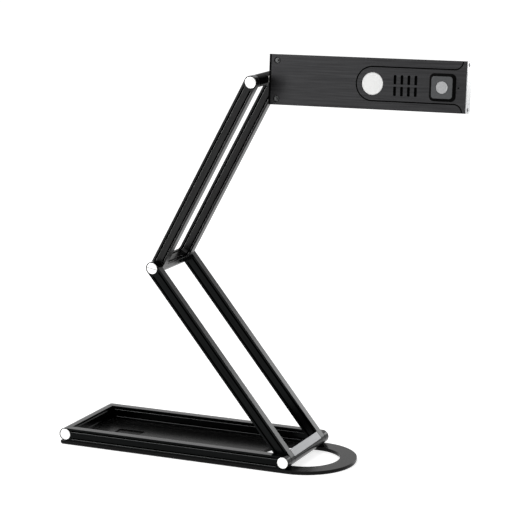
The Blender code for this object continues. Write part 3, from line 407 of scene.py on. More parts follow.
def round_edges(piece: Piece, radius: float, segments: int, test: Test) -> Piece:
    """Rounds chosen edges, fully where two roundings meet.

    Args:
        piece: The object to edit.
        radius: Radius of the rounding.
        segments: Faces across it.
        test: Given an edge's centre and direction, says whether it is rounded.

    Returns:
        The same piece.
    """
    with editing(piece, Pick.EDGES, test):
        bpy.ops.mesh.bevel(offset=radius - MERGE / 5, segments=segments, affect="EDGES")
        bpy.ops.mesh.select_all(action="SELECT")
        bpy.ops.mesh.remove_doubles(threshold=MERGE)
    return piece


def score(piece: Piece, place: Vector, normal: Vector, test: Test) -> None:
    """Cuts edges along a plane into the faces that a test picks."""
    with editing(piece, Pick.FACES, test):
        bpy.ops.mesh.bisect(plane_co=place, plane_no=normal)


def sink(piece: Piece, depth: float, test: Test) -> None:
    """Extrudes the faces that a test picks into the piece, by a depth."""
    with editing(piece, Pick.FACES, test):
        bpy.ops.mesh.extrude_region_shrink_fatten(TRANSFORM_OT_shrink_fatten={"value": -depth})


def inset_steps(piece: Piece, test: Test, *steps: Span) -> None:
    """Insets chosen faces several times, each step with its thickness and its rise.

    Args:
        piece: The object to edit.
        test: Given a face's centre and normal, says whether it is inset.
        *steps: Thickness and rise (below zero is in) of each inset.
    """
    with editing(piece, Pick.FACES, test):
        for thickness, rise in steps:
            bpy.ops.mesh.inset(thickness=thickness, depth=rise)


def draw_out(piece: Piece, shift: Triple, test: Test) -> None:
    """Extrudes the faces that a test picks by a shift."""
    with editing(piece, Pick.FACES, test):
        bpy.ops.mesh.extrude_region_move(TRANSFORM_OT_translate={"value": shift})


def widen(piece: Piece, share: float, centre: Vector, test: Test) -> None:
    """Scales the faces that a test picks by a share along X and Z, about a centre."""
    with editing(piece, Pick.FACES, test):
        bpy.ops.transform.resize(value=(share, 1, share), center_override=centre)


def soften(piece: Piece, width: float, segments: int = 3) -> Piece:
    """Rounds a piece's sharp edges, before its holes are cut.

    Args:
        piece: The object to finish.
        width: Width of the rounding.
        segments: Faces across it.

    Returns:
        The same piece.
    """
    apply_modifier(piece, "BEVEL", width=width, segments=segments, limit_method="ANGLE",
                   angle_limit=SHARP, use_clamp_overlap=False)
    with editing(piece, Pick.FACES):
        bpy.ops.mesh.remove_doubles(threshold=MERGE / 10)
        bpy.ops.mesh.normals_make_consistent(inside=False)
    return piece


def dressed(piece: Piece, finish: Material, body: Body, slot: str, *stands_for: str) -> Piece:
    """Shades a piece and gives it its finish, its body and the CAD nodes it stands for.

    Args:
        piece: The finished mesh.
        finish: Its material.
        body: The body it rides on.
        slot: The record's material slot; not used.
        *stands_for: CAD nodes that it replaces.

    Returns:
        The same object.
    """
    select_only(piece)
    bpy.ops.object.shade_smooth_by_angle(angle=SHARP)
    apply_modifier(piece, "WEIGHTED_NORMAL", keep_sharp=True)
    piece.data.materials.clear()
    piece.data.materials.append(finish)
    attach(piece, body.value)
    if stands_for:
        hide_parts(*stands_for)
    LOG.info("%s: %d faces on %s, stands for %s", piece.name, len(piece.data.polygons), body.value,
             ", ".join(stands_for) or "nothing")
    return piece


def recoat(finish: Material, *nodes: str) -> None:
    """Gives CAD nodes that stay in view a better material.

    Args:
        finish: The material.
        *nodes: Names of the nodes.
    """
    for node in nodes:
        for slot in frame["nodes"][node].material_slots:
            slot.material = finish
    LOG.info("%s on %s", finish.name, ", ".join(nodes))


def pair(start: str) -> list[str]:
    """Names of a near and a far node, from what they have in common."""
    return [f"{start}_{side.word}" for side in Side]


# Finishes


def even(size: float) -> Triple:
    """A mark of the same size along each axis."""
    return (size, size, size)


def colour(hex_code: str) -> tuple[float, float, float, float]:
    """Turns an sRGB hex colour to linear values.

    Args:
        hex_code: Six hex digits.

    Returns:
        Red, green, blue and alpha.
    """
    parts = (byte / 255 for byte in bytes.fromhex(hex_code))
    linear = (c / 12.92 if c <= 0.04045 else ((c + 0.055) / 1.055) ** 2.4 for c in parts)
    return (*linear, 1.0)


def add_node(tree: Tree, kind: str,
             links: dict[str | int, Socket] | None = None,
             values: dict[str | int, object] | None = None, **settings: object) -> Node:
    """Adds a node with its settings, values and links.

    Args:
        tree: The material's nodes.
        kind: The node's type.
        links: Output sockets by the name or number of the input that they go to.
        values: Values by the name or number of the input.
        **settings: Attributes of the node.

    Returns:
        The new node.
    """
    node = tree.nodes.new(kind)
    for key, value in settings.items():
        setattr(node, key, value)
    for key, value in (values or {}).items():
        node.inputs[key].default_value = value
    for key, socket in (links or {}).items():
        tree.links.new(socket, node.inputs[key])
    return node


@dataclass(frozen=True)
class Finish:
    """A finish: what its shader's own sockets hold, and the pattern of its surface.

    The grain is noise whose marks have a real size along each axis of the grain's own frame, so
    long marks give a brushed or drawn surface and round ones a blasted or moulded one.
    """

    name: str
    dark: str
    bright: str
    roughness: Span
    metallic: float = 0.0
    ior: float = 1.5
    specular: float = 0.5
    coat: float = 0.0
    mark: Triple = even(1 * MM)
    fine_mark: Triple = even(0.3 * MM)
    relief: float = 0.01 * MM
    strength: float = 0.6
    turn: Triple = even(0.0)
    centre: Triple = even(0.0)
    rings: float = 0.0
    ring_share: float = 0.55
    ring_wobble: float = 0.6
    wave_length: float = 6.3
    coat_roughness: float = 0.12
    fine_share: float = 0.5
    coarse_detail: float = 2.0
    fine_detail: float = 3.0
    noise_roughness: float = 0.6
    tone_spread: Span = (0.32, 0.68)
    gloss_spread: Span = (0.3, 0.7)
    dust: float = 0.12
    smudge: float = 22 * MM

    def make(self) -> Material:
        """Makes the material.

        Returns:
            A procedural material that reads Object coordinates.
        """
        material = bpy.data.materials.new(self.name)
        material.use_nodes = True
        tree = material.node_tree
        shader = tree.nodes["Principled BSDF"]
        shader.inputs["Metallic"].default_value = self.metallic
        if not self.metallic:
            shader.inputs["IOR"].default_value = self.ior
            shader.inputs["Specular IOR Level"].default_value = self.specular
        shader.inputs["Coat Weight"].default_value = self.coat
        shader.inputs["Coat Roughness"].default_value = self.coat_roughness
        place = add_node(tree, "ShaderNodeTexCoord").outputs["Object"]
        local = add_node(tree, "ShaderNodeMapping", {"Vector": place}, {
            "Location": self.centre, "Rotation": self.turn}, vector_type="TEXTURE").outputs[0]
        coarse = self.grain(tree, local, self.mark, self.coarse_detail)
        fine = self.grain(tree, local, self.fine_mark, self.fine_detail)
        both = add_node(tree, "ShaderNodeMix", {"A": coarse, "B": fine},
                        {"Factor": self.fine_share}).outputs[0]
        if self.rings:
            both = self.turned_marks(tree, local, both)
        smudge = self.grain(tree, local, even(self.smudge), self.coarse_detail)
        spread = self.map_range(tree, both, self.tone_spread)
        tone = add_node(tree, "ShaderNodeMix", {"Factor": spread}, data_type="RGBA")
        tone.inputs["A"].default_value = colour(self.dark)
        tone.inputs["B"].default_value = colour(self.bright)
        gloss = add_node(tree, "ShaderNodeMix", {"A": both, "B": smudge}, {"Factor": self.dust})
        rough = self.map_range(tree, gloss.outputs[0], self.gloss_spread, self.roughness)
        shown = self.tones(tree, local, tone.outputs["Result"], rough)
        for socket, name in zip(shown, ("Base Color", "Roughness")):
            tree.links.new(socket, shader.inputs[name])
        bump = add_node(tree, "ShaderNodeBump", {"Height": both},
                        {"Strength": self.strength, "Distance": self.relief})
        tree.links.new(bump.outputs[0], shader.inputs["Normal"])
        self.extra(shader)
        return material

    def map_range(self, tree: Tree, value: Socket, spread: Span,
                  limits: Span = (0.0, 1.0)) -> Socket:
        """Maps a value from its usual spread to the limits of what it drives.

        Args:
            tree: The material's nodes.
            value: The value.
            spread: Where the value usually lies.
            limits: What the ends of that spread become.

        Returns:
            The mapped value.
        """
        return add_node(tree, "ShaderNodeMapRange", {"Value": value}, {
            "From Min": spread[0], "From Max": spread[1], "To Min": limits[0],
            "To Max": limits[1]}).outputs[0]

    def grain(self, tree: Tree, local: Socket, mark: Triple, detail: float) -> Socket:
        """Noise whose marks have a real size along each axis.

        Args:
            tree: The material's nodes.
            local: Coordinates in the grain's frame.
            mark: Size of a mark along each axis.
            detail: Detail of the noise.

        Returns:
            The noise's value.
        """
        scaled = add_node(tree, "ShaderNodeMapping", {"Vector": local},
                          {"Scale": tuple(1 / size for size in mark)})
        noise = add_node(tree, "ShaderNodeTexNoise", {"Vector": scaled.outputs[0]},
                         {"Scale": 1.0, "Detail": detail, "Roughness": self.noise_roughness})
        return noise.outputs[0]

    def turned_marks(self, tree: Tree, local: Socket, grain: Socket) -> Socket:
        """Rings of a lathe's tool about the Y axis, mixed with the grain.

        Args:
            tree: The material's nodes.
            local: Coordinates with the axis through the origin.
            grain: The finish's grain.

        Returns:
            The mixed value.
        """
        rings = add_node(tree, "ShaderNodeTexWave", {"Vector": local}, {
            "Scale": 1 / (self.rings * self.wave_length), "Distortion": self.ring_wobble,
            "Detail": 1.0}, wave_type="RINGS", rings_direction="Y")
        return add_node(tree, "ShaderNodeMix", {"A": grain, "B": rings.outputs[1]},
                        {"Factor": self.ring_share}).outputs[0]

    def tones(self, tree: Tree, local: Socket, tone: Socket, rough: Socket) -> list[Socket]:
        """The colour and the roughness that the shader gets; most finishes leave them."""
        return [tone, rough]

    def extra(self, shader: Node) -> None:
        """A place for what a finish adds to the shader; most add nothing."""


@dataclass(frozen=True)
class GroovedExtrusion(Finish):
    """Anodised extrusion whose sides are polished, while its grooves keep the die's dull black.

    The lip below each groove gets a painted highlight, a pale band that stands for the thin line of
    light it catches.
    """

    groove_top: float = 0.8 * MM
    lip_top: float = 0.672 * MM
    lip: float = 0.32 * MM
    # Painted highlight: colour of the band on the lip below each groove.
    lip_colour: str = "0D0E0E"
    ends: Span = (0.0, 0.0)
    # Painted shade: near-black colour and high roughness inside the grooves.
    dull: str = "020202"
    dull_roughness: float = 0.9

    def tones(self, tree: Tree, local: Socket, tone: Socket, rough: Socket) -> list[Socket]:
        """Paints shade into the grooves and a highlight on their lips.

        Args:
            tree: The material's nodes.
            local: Coordinates in the grain's frame.
            tone: The grained colour.
            rough: The grained roughness.

        Returns:
            The colour and the roughness that the shader gets.
        """
        split = add_node(tree, "ShaderNodeSeparateXYZ", {"Vector": local})
        groove = self.bands(tree, split, -self.lip_top, self.groove_top)
        lip = self.bands(tree, split, -self.lip_top - self.lip, -self.lip_top)
        # The lip band gets the painted highlight, then the groove band the painted shade.
        for mask, code in ((lip, self.lip_colour), (groove, self.dull)):
            mixed = add_node(tree, "ShaderNodeMix", {"Factor": mask}, data_type="RGBA")
            tree.links.new(tone, mixed.inputs["A"])
            mixed.inputs["B"].default_value = colour(code)
            tone = mixed.outputs["Result"]
        dull = add_node(tree, "ShaderNodeMix", {"Factor": groove, "A": rough},
                        {"B": self.dull_roughness})
        return [tone, dull.outputs[0]]

    def bands(self, tree: Tree, split: Node, low: float, high: float) -> Socket:
        """Marks a band at each of the two grooves, between the grooves' ends.

        Args:
            tree: The material's nodes.
            split: The node that holds the coordinates apart.
            low: A band's lower edge, from the middle of its groove.
            high: Its upper edge.

        Returns:
            One inside the bands, zero outside.
        """
        marks = [add_node(tree, "ShaderNodeMath", {0: split.outputs["Z"]},
                          {1: level + (low + high) / 2, 2: (high - low) / 2},
                          operation="COMPARE").outputs[0]
                 for level in (-RAIL.groove_height, RAIL.groove_height)]
        either = add_node(tree, "ShaderNodeMath", dict(enumerate(marks)), operation="MAXIMUM")
        middle, reach = sum(self.ends) / 2, abs(self.ends[1] - self.ends[0]) / 2
        within = add_node(tree, "ShaderNodeMath", {0: split.outputs["X"]}, {1: middle, 2: reach},
                          operation="COMPARE")
        return add_node(tree, "ShaderNodeMath", {0: either.outputs[0], 1: within.outputs[0]},
                        operation="MULTIPLY").outputs[0]


@dataclass(frozen=True)
class Diffuser(Finish):
    """Frosted acrylic: light from the room sinks in and comes out again, which keeps it even."""

    share: float = 0.35
    depth: float = 1.2 * MM

    def extra(self, shader: Node) -> None:
        """Adds the light that sinks into the acrylic."""
        shader.inputs["Subsurface Weight"].default_value = self.share
        shader.inputs["Subsurface Radius"].default_value = even(1.0)
        shader.inputs["Subsurface Scale"].default_value = self.depth


class Workshop:
    """All the finishes of the camera, each made once from its real material and process."""

    def __init__(self) -> None:
        """Makes the finishes, kind by kind."""
        self.turn_lower = (0.0, POSE.lower_angle, 0.0)
        self.turn_upper = (0.0, -POSE.upper_angle, 0.0)
        self.turn_head = (-POSE.head_turn, -POSE.head_rise, 0.0)
        self.extrusions()
        self.plates()
        self.coats_and_mouldings()
        self.fasteners()
        self.optics()

    def extrusions(self) -> None:
        """Extruded aluminium, black anodised: die lines along the bar, pale where seen flat."""
        drawn = dict(metallic=1.0, mark=(60 * MM, 1.1 * MM, 1.1 * MM),
                     fine_mark=(24 * MM, 0.35 * MM, 0.35 * MM), relief=0.0015 * MM)
        base, middle = tuple(POSE.pin("base_hinge")), tuple(POSE.pin("mid_hinge"))
        lower = POSE.reach("base_hinge", "mid_hinge")
        upper = POSE.reach("mid_hinge", "head_tilt")
        end = RAIL.groove_end
        # Painted light: one black anodised extrusion in three tones, the upper arm's painted lighter
        # and the tray's and lower arm's darker, for how the light falls on them.
        self.tray_rail = GroovedExtrusion(
            "black_anodised_extrusion_tray", "0D0E0E", "151616", (0.18, 0.27), lip_colour="565757",
            ends=(end - TrayBase.span, -end), centre=base, **drawn).make()
        self.lower_rail = GroovedExtrusion(
            "black_anodised_extrusion_lower", "0F1010", "1A1B1B", (0.18, 0.27),
            ends=(end - lower, -end), centre=base, turn=self.turn_lower, **drawn).make()
        self.upper_rail = GroovedExtrusion(
            "black_anodised_extrusion_upper", "1E1E1E", "2B2B2B", (0.22, 0.32), lip_colour="5A5A5A",
            ends=(0.0, upper - end), centre=middle, turn=self.turn_upper, **drawn).make()

    def plates(self) -> None:
        """Aluminium plate in its four finishes."""
        # Brushed along its length and black anodised: soft dark grey streaks.
        brushed = dict(metallic=1.0, mark=(60 * MM, 2.0 * MM, 1.6 * MM), turn=self.turn_head,
                       fine_mark=(24 * MM, 0.6 * MM, 0.7 * MM), relief=0.006 * MM)
        self.head_plate = Finish("black_brushed_plate", "2A2A2B", "373738", (0.3, 0.4),
                                 **brushed).make()
        self.head_shell = Finish("black_anodised_shell", "0C0C0C", "151515", (0.3, 0.42),
                                 **brushed).make()
        # Fine brushed and clear anodised: pale, even silver.
        self.silver_plate = Finish(
            "clear_anodised_plate", "A6A7A8", "BBBCBD", (0.24, 0.36), turn=self.turn_head,
            metallic=1.0, mark=(1.4 * MM, 1.4 * MM, 26 * MM),
            fine_mark=(0.4 * MM, 0.4 * MM, 10 * MM), relief=0.005 * MM).make()
        # The same across the lower arm, anodised grey.
        self.cross_plate = Finish(
            "grey_anodised_plate", "5C5D5E", "6E6F70", (0.3, 0.42), turn=self.turn_lower,
            metallic=1.0, mark=(1.4 * MM, 30 * MM, 1.4 * MM),
            fine_mark=(0.5 * MM, 12 * MM, 0.5 * MM), relief=0.006 * MM).make()
        # Blasted and grey anodised round the lens: flat mid grey.
        self.window_grey = Finish(
            "grey_blasted_plate", "3E3F40", "4C4D4E", (0.36, 0.48), turn=self.turn_head,
            metallic=1.0, mark=even(0.8 * MM), relief=0.01 * MM).make()

    def coats_and_mouldings(self) -> None:
        """Powder coat, paint, nylon and rubber, and the painted shade on the microphone and the
        boards, all black.
        """
        # Powder coat on steel sheet: fine orange peel, low even gloss.
        self.powder_coat = Finish("black_powder_coat", "060606", "0B0B0B", (0.18, 0.26),
                                  specular=0.09, mark=even(1.6 * MM), relief=0.03 * MM).make()
        # Satin paint on die-cast zinc: near black, with faint highlights.
        self.satin_paint = Finish("black_satin_paint", "040404", "080808", (0.34, 0.44),
                                  specular=0.02, mark=even(3 * MM), relief=0.01 * MM).make()
        # Moulded nylon: fine spark-eroded grain.
        self.nylon = Finish("black_moulded_nylon", "0B0C0C", "131414", (0.34, 0.46), ior=1.53,
                            specular=0.35, mark=even(0.7 * MM), relief=0.02 * MM).make()
        # Painted shade: the microphone behind the slots is made near black, so the slots look dark.
        self.felt = Finish("black_felt", "030303", "070707", (0.9, 1.0), specular=0.05,
                           mark=even(0.8 * MM), relief=0.05 * MM).make()
        # Rubber sheet: dull black with a fine cloth-like bloom.
        self.rubber = Finish("black_rubber_sheet", "0A0A0A", "141414", (0.7, 0.85), ior=1.52,
                             mark=even(0.9 * MM), relief=0.03 * MM).make()
        # Painted shade: the boards are made matt near black, so the gaps of the face look dark.
        self.board = Finish("black_solder_resist", "030303", "060606", (0.6, 0.75), specular=0.05,
                            mark=even(1.5 * MM), relief=0.03 * MM).make()

    def fasteners(self) -> None:
        """Steel of the bolts, nuts and screws."""
        small_grain = dict(metallic=1.0, mark=even(0.5 * MM))
        # Nickel plate: bright warm grey.
        self.fastener = Finish("nickel_plated_steel", "8E8D8A", "A9A8A5", (0.2, 0.34),
                               **small_grain).make()
        # Black oxide on the face screws: dark grey against the black of their holes.
        self.dark_screw = Finish("black_oxide_steel", "484949", "5A5B5B", (0.3, 0.4),
                                 **small_grain).make()
        # The same on the end plate's small screws, a shade darker against the silver.
        self.small_screw = Finish("black_oxide_steel_small", "1A1B1B", "282929", (0.3, 0.4),
                                  **small_grain).make()

    def optics(self) -> None:
        """The lens and the lamp's cover."""
        # Coated glass over pale blades: light grey with a clear small highlight.
        self.lens = Finish("coated_optical_glass", "939495", "B3B4B5", (0.16, 0.22), ior=1.6,
                           coat=0.6, mark=even(1.1 * MM), relief=0.001 * MM).make()
        # Frosted acrylic: even, matt white.
        self.diffuser = Diffuser("frosted_acrylic", "E4E4E3", "EBEBEA", (0.4, 0.52), ior=1.49,
                                 mark=even(0.9 * MM), relief=0.02 * MM).make()

    def turned_disc(self, name: str, centre: Vector) -> Material:
        """Turned and polished aluminium: nearly white, with the fine rings of the lathe's tool."""
        return Finish(name, "E6E6E5", "F6F6F5", (0.12, 0.2), metallic=1.0, centre=tuple(centre),
                      rings=0.35 * MM, relief=0.003 * MM, mark=even(0.6 * MM)).make()


# Parts that several sub-assemblies share


@dataclass(frozen=True)
class Rail:
    """The section of every frame's rails, with the holes and pockets of their pins."""

    radius: float = 6.75 * MM
    thick: float = 8.5 * MM
    edge: float = 0.25 * MM
    groove_width: float = 1.5 * MM
    groove_depth: float = 1.2 * MM
    groove_height: float = 3.88 * MM
    groove_end: float = 7.4 * MM
    pocket_radius: float = 6.35 * MM
    pocket_depth: float = 1.7 * MM
    nut_radius: float = 4.5 * MM
    nut_depth: float = 2.5 * MM
    bore_radius: float = 2.8 * MM
    washer_radius: float = 5.3 * MM
    washer_depth: float = 1.0 * MM

    def bar(self, name: str, start: float, end: float, low: float, high: float) -> Piece:
        """Models a bar along X whose ends are round about two pins.

        Args:
            name: Name of the piece.
            start: The first pin.
            end: The second pin.
            low: Its lowest depth along Y.
            high: Its highest depth along Y.

        Returns:
            The bar.
        """
        piece = block(name, (start - self.radius, low, -self.radius),
                      (end + self.radius, high, self.radius))
        return round_edges(piece, self.radius, Arc.RAIL, along(Axis.Y))

    def bands(self) -> list[Span]:
        """Bottom and top of the two grooves, from the rail's middle."""
        half = self.groove_width / 2
        return [(level - half, level + half) for level in (-self.groove_height, self.groove_height)]

    def groove(self, piece: Piece, first: float, last: float, wall: Test) -> None:
        """Sinks two grooves into chosen walls of a bar or a frame.

        Args:
            piece: The bar.
            first: Where they start along X.
            last: Where they end.
            wall: Given a face's centre and normal, says whether it is such a wall.
        """
        for place in (first, last):
            score(piece, (place, 0, 0), (1, 0, 0), wall)

        def grooved(centre: Vector, normal: Vector) -> bool:
            """Whether a face of the wall is between the grooves' ends."""
            return wall(centre, normal) and first < centre.x < last

        for band in self.bands():
            for height in band:
                score(piece, (0, 0, height), (0, 0, 1), grooved)
        half = self.groove_width / 2
        sink(piece, self.groove_depth, lambda centre, normal: grooved(centre, normal)
             and abs(abs(centre.z) - self.groove_height) < half)

    def grooved_bar(self, name: str, length: float, side: Side, face: float) -> Piece:
        """Models a rail of a frame, from one pin at the origin to the next along -X.

        Args:
            name: Name of the piece.
            length: From pin to pin.
            side: Its side of the frame.
            face: Depth of its outer face, above zero.

        Returns:
            The rail, grooved on both sides, its edges soft.
        """
        rail = self.bar(name, -length, 0.0, *side.depths(face, face - self.thick))
        self.groove(rail, self.groove_end - length, -self.groove_end, along(Axis.Y))
        return soften(rail, self.edge)

    def pin_holes(self, place: float, side: Side, face: float, bore: float = 0.0) -> list[Piece]:
        """Bodies that cut a disc's pocket, a washer's seat and a bore between them.

        Args:
            place: The pin, along the bar.
            side: The bar's side of the frame.
            face: Depth of the bar's outer face, above zero.
            bore: Radius of the bore, where it isn't a hinge's.

        Returns:
            The bodies to cut out.
        """
        floor = face - self.pocket_depth
        inner = face - self.thick
        spans = [("pocket", self.pocket_radius, floor, face + OVERRUN, Steps.POCKET),
                 ("bore", bore or self.bore_radius, inner - OVERRUN, face, Steps.BORE)]
        if not bore:
            spans.append(("nut", self.nut_radius, floor - self.nut_depth, face, Steps.SEAT))
            spans.append(("seat", self.washer_radius, inner - OVERRUN, inner + self.washer_depth,
                          Steps.SEAT))
        return [disc(name, radius, *side.depths(low, high), (place, 0, 0), steps)
                for name, radius, low, high, steps in spans]

    def through_bore(self, reach: float) -> Piece:
        """The body that cuts the bore at the frame's origin, right across it."""
        return disc("bore", self.bore_radius, -reach, reach, (0, 0, 0), Steps.BORE)


RAIL = Rail()


@dataclass
class PolishedDisc:
    """The turned disc that closes a hinge, modelled once at the origin with its face along -Y."""

    works: Workshop
    radius: float = 5.95 * MM
    thick: float = 1.4 * MM
    crown: float = 0.15 * MM
    rim: float = 0.55 * MM
    line: float = 0.12 * MM
    edge: float = 0.25 * MM
    dome: Spans = ((0.25, 0.6), (0.3, 0.4))
    slot_width: float = 0.45 * MM
    slot_turn: float = math.radians(11)
    shank_radius: float = 1.5 * MM
    shank_end: float = 17.5 * MM

    def model(self, name: str, shank: bool) -> Piece:
        """Models a disc: a crowned face with a fine turned line inside its rim.

        Args:
            name: Name of the piece.
            shank: Whether it is the head of a screw, with a shank behind it.

        Returns:
            The disc, at the origin.
        """
        piece = disc(name, self.radius, self.crown + self.edge, self.thick, (0, 0, 0), Steps.DISC)
        inset_steps(piece, facing(Axis.Y, -1), (self.edge, self.edge), (self.rim, 0.0),
                    (self.line, -self.line), (self.line, self.line),
                    *((self.radius * in_share, self.crown * up_share)
                      for in_share, up_share in self.dome))
        if shank:
            inset_steps(piece, facing(Axis.Y, 1), (self.radius - self.shank_radius, 0.0))
            draw_out(piece, (0, self.shank_end - self.thick, 0),
                     facing(Axis.Y, 1, on_axis(self.shank_radius)))
        return soften(piece, self.edge / 5, 2)

    def fit(self, label: str, joint: str, body: Body, nodes: str, width: float,
            shift: float = 0.0, shank: bool = False, slotted: bool = False) -> None:
        """Sets a disc in both outer sides of a frame.

        Args:
            label: Start of the pieces' names.
            joint: The joint whose axis the discs are on.
            body: The body they ride on.
            nodes: Start of the names of the nodes they stand for.
            width: Width of the frame.
            shift: How far the discs are from that axis along X.
            shank: Whether they are screws.
            slotted: Whether a fine slot runs across them.
        """
        axis = POSE.pin(joint) + Vector((shift, 0, 0))
        finish = self.works.turned_disc(f"turned_polished_{label}", axis)
        model = self.model(f"{label}_near", shank)
        if slotted:
            reach = self.radius - self.rim
            slot = block("slot", (-reach, -OVERRUN, -self.slot_width / 2),
                         (reach, self.thick + OVERRUN, self.slot_width / 2))
            combine(model, [settle(slot, Matrix.Rotation(self.slot_turn, 4, "Y"))])
        twin = copied(model, f"{label}_far")
        settle(model, Matrix.Translation(axis - Vector((0, width / 2, 0))))
        settle(twin, Matrix.Translation(axis + Vector((0, width / 2, 0)))
               @ Matrix.Rotation(math.pi, 4, "Z"))
        for piece, side in ((model, Side.NEAR), (twin, Side.FAR)):
            dressed(piece, finish, body, "polished_silver", f"{nodes}_{side.word}")


# Sub-assemblies


@dataclass
class Assembly:
    """What sub-assemblies share: the finishes, the body they ride on and where their frame is."""

    works: Workshop
    body: ClassVar[Body]
    place: ClassVar[Callable[[], Matrix]]

    def finished(self, piece: Piece, finish: Material, slot: str, node: str) -> None:
        """Sets a piece that is modelled in the assembly's frame in its place and dresses it."""
        dressed(settle(piece, self.place()), finish, self.body, slot, node)


@dataclass
class TrayBase(Assembly):
    """The tray that stands on the desk: plate with a ring, two rails and an end bar."""

    body = Body.BASE
    place = POSE.base
    span: float = 250.0 * MM
    ring_band: float = 17.3 * MM
    opening_stretch: float = 12.5 * MM
    plate_corner: float = 0.8 * MM
    plate_edge: float = 0.25 * MM
    pad_inset: float = 0.8 * MM
    pocket_place: float = 32.0 * MM
    pocket_size: Triple = (30.0 * MM, 22.0 * MM, 1.2 * MM)
    pocket_corner: float = 2.0 * MM
    end_bar_reach: float = 4.7 * MM
    end_screw_bore: float = 1.8 * MM
    end_screw_reach: float = 34.7 * MM
    screw_head: float = 3.05 * MM
    screw_bore: float = 1.8 * MM
    screw_cone: float = 1.5 * MM
    screw_depth: float = 8.8 * MM
    screw_count: int = 4

    def build(self) -> None:
        """Models and dresses the base."""
        self.plate()
        self.pad()
        for side in Side:
            self.rail(side)
        self.end_bar()
        recoat(self.works.fastener, *self.screw_nodes(), "base_hinge_bolt", "base_hinge_nut")
        recoat(self.works.nylon, *pair("base_hinge_washer"))
        discs = PolishedDisc(self.works)
        width = self.width()
        discs.fit("tray_end_disc", "base_hinge", self.body, "tray_end_screw", width, -self.span, True)
        discs.fit("base_hinge_disc", "base_hinge", self.body, "base_hinge_cap", width)

    def screw_nodes(self) -> list[str]:
        """Names of the nodes of the rails' screws."""
        return [f"base_screw_{i + 1}" for i in range(self.screw_count)]

    def width(self) -> float:
        """Width of the tray over its rails."""
        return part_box("base_rail_far")[1].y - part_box("base_rail_near")[0].y

    def ring_sheet(self, name: str, node: str, inset: float) -> Piece:
        """Models a sheet with the base's outline: a half circle at one end and a long opening.

        Args:
            name: Name of the piece.
            node: The CAD node whose box it fills.
            inset: How far its outline is inside the plate's.

        Returns:
            The sheet.
        """
        low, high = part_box(node)
        half = (high.y - low.y) / 2
        ring_x = high.x - half
        piece = block(name, low, high)
        round_edges(piece, half, Arc.RING, along(Axis.Z, lambda c: c.x > 0))
        round_edges(piece, self.plate_corner, Arc.TINY, along(Axis.Z, lambda c: c.x < low.x + MERGE))
        radius = half + 2 * inset - self.ring_band
        opening = block("opening", (ring_x - self.opening_stretch - radius, -radius, low.z - OVERRUN),
                        (ring_x + radius, radius, high.z + OVERRUN))
        round_edges(opening, radius, Arc.OPENING, along(Axis.Z))
        return combine(piece, [opening])

    def plate(self) -> None:
        """The steel plate, with the pocket in its floor and the rails' screw holes."""
        plate = self.ring_sheet("tray_plate_with_ring", "base_plate", 0.0)
        low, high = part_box("base_plate")
        start = POSE.pin("base_hinge").x - self.span + self.pocket_place
        length, width, depth = self.pocket_size
        pocket = block("pocket", (start, -width / 2, high.z - depth),
                       (start + length, width / 2, high.z + OVERRUN))
        round_edges(pocket, self.pocket_corner, Arc.CORNER, along(Axis.Z))
        soften(plate, self.plate_edge)
        combine(plate, [pocket] + self.screw_holes(low.z))
        dressed(plate, self.works.powder_coat, self.body, "black_painted_steel", "base_plate")

    def screw_holes(self, bottom: float) -> list[Piece]:
        """Bodies that cut the countersunk holes from below.

        Args:
            bottom: Height of the plate's underside.

        Returns:
            A cone and a bore at each screw.
        """
        holes = []
        for node in self.screw_nodes():
            low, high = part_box(node)
            place = (low + high) / 2
            holes.append(disc("cone", self.screw_head, bottom, bottom + self.screw_cone, place,
                              Steps.BORE, Axis.Z, self.screw_bore))
            holes.append(disc("bore", self.screw_bore, bottom, bottom + self.screw_depth, place,
                              Steps.BORE, Axis.Z))
        return holes

    def pad(self) -> None:
        """The thin rubber sheet that the plate stands on."""
        pad = self.ring_sheet("rubber_foot_sheet", "base_pad", self.pad_inset)
        soften(pad, self.plate_edge / 2, 2)
        dressed(pad, self.works.rubber, self.body, "rubber", "base_pad")

    def rail(self, side: Side) -> None:
        """One rail of the tray, from the end disc to the base hinge."""
        face = self.width() / 2
        rail = RAIL.grooved_bar(f"tray_rail_{side.word}", self.span, side, face)
        holes = RAIL.pin_holes(0.0, side, face)
        holes += RAIL.pin_holes(-self.span, side, face, self.end_screw_bore)
        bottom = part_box("base_plate")[0].z
        holes += [settle(hole, POSE.base().inverted()) for hole in self.screw_holes(bottom)]
        combine(rail, holes)
        self.finished(rail, self.works.tray_rail, "black_aluminium", f"base_rail_{side.word}")

    def end_bar(self) -> None:
        """The bar across the tray's end, round outside, flat and grooved inside."""
        low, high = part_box("tray_end_bar")
        face = self.end_bar_reach - self.span
        bar = block("tray_bar_at_the_end", (-self.span - RAIL.radius, low.y, -RAIL.radius),
                    (face, high.y, RAIL.radius))
        round_edges(bar, RAIL.radius, Arc.RAIL, along(Axis.Y, lambda c: c.x < -self.span))
        soften(bar, RAIL.edge)
        cuts = [block("groove", (face - RAIL.groove_depth, low.y - OVERRUN, bottom),
                      (face + OVERRUN, high.y + OVERRUN, top)) for bottom, top in RAIL.bands()]
        for side in Side:
            ends = side.depths(self.end_screw_reach, high.y + OVERRUN)
            cuts.append(disc("bore", self.end_screw_bore, *ends, (-self.span, 0, 0), Steps.BORE))
        combine(bar, cuts)
        self.finished(bar, self.works.tray_rail, "black_aluminium", "tray_end_bar")


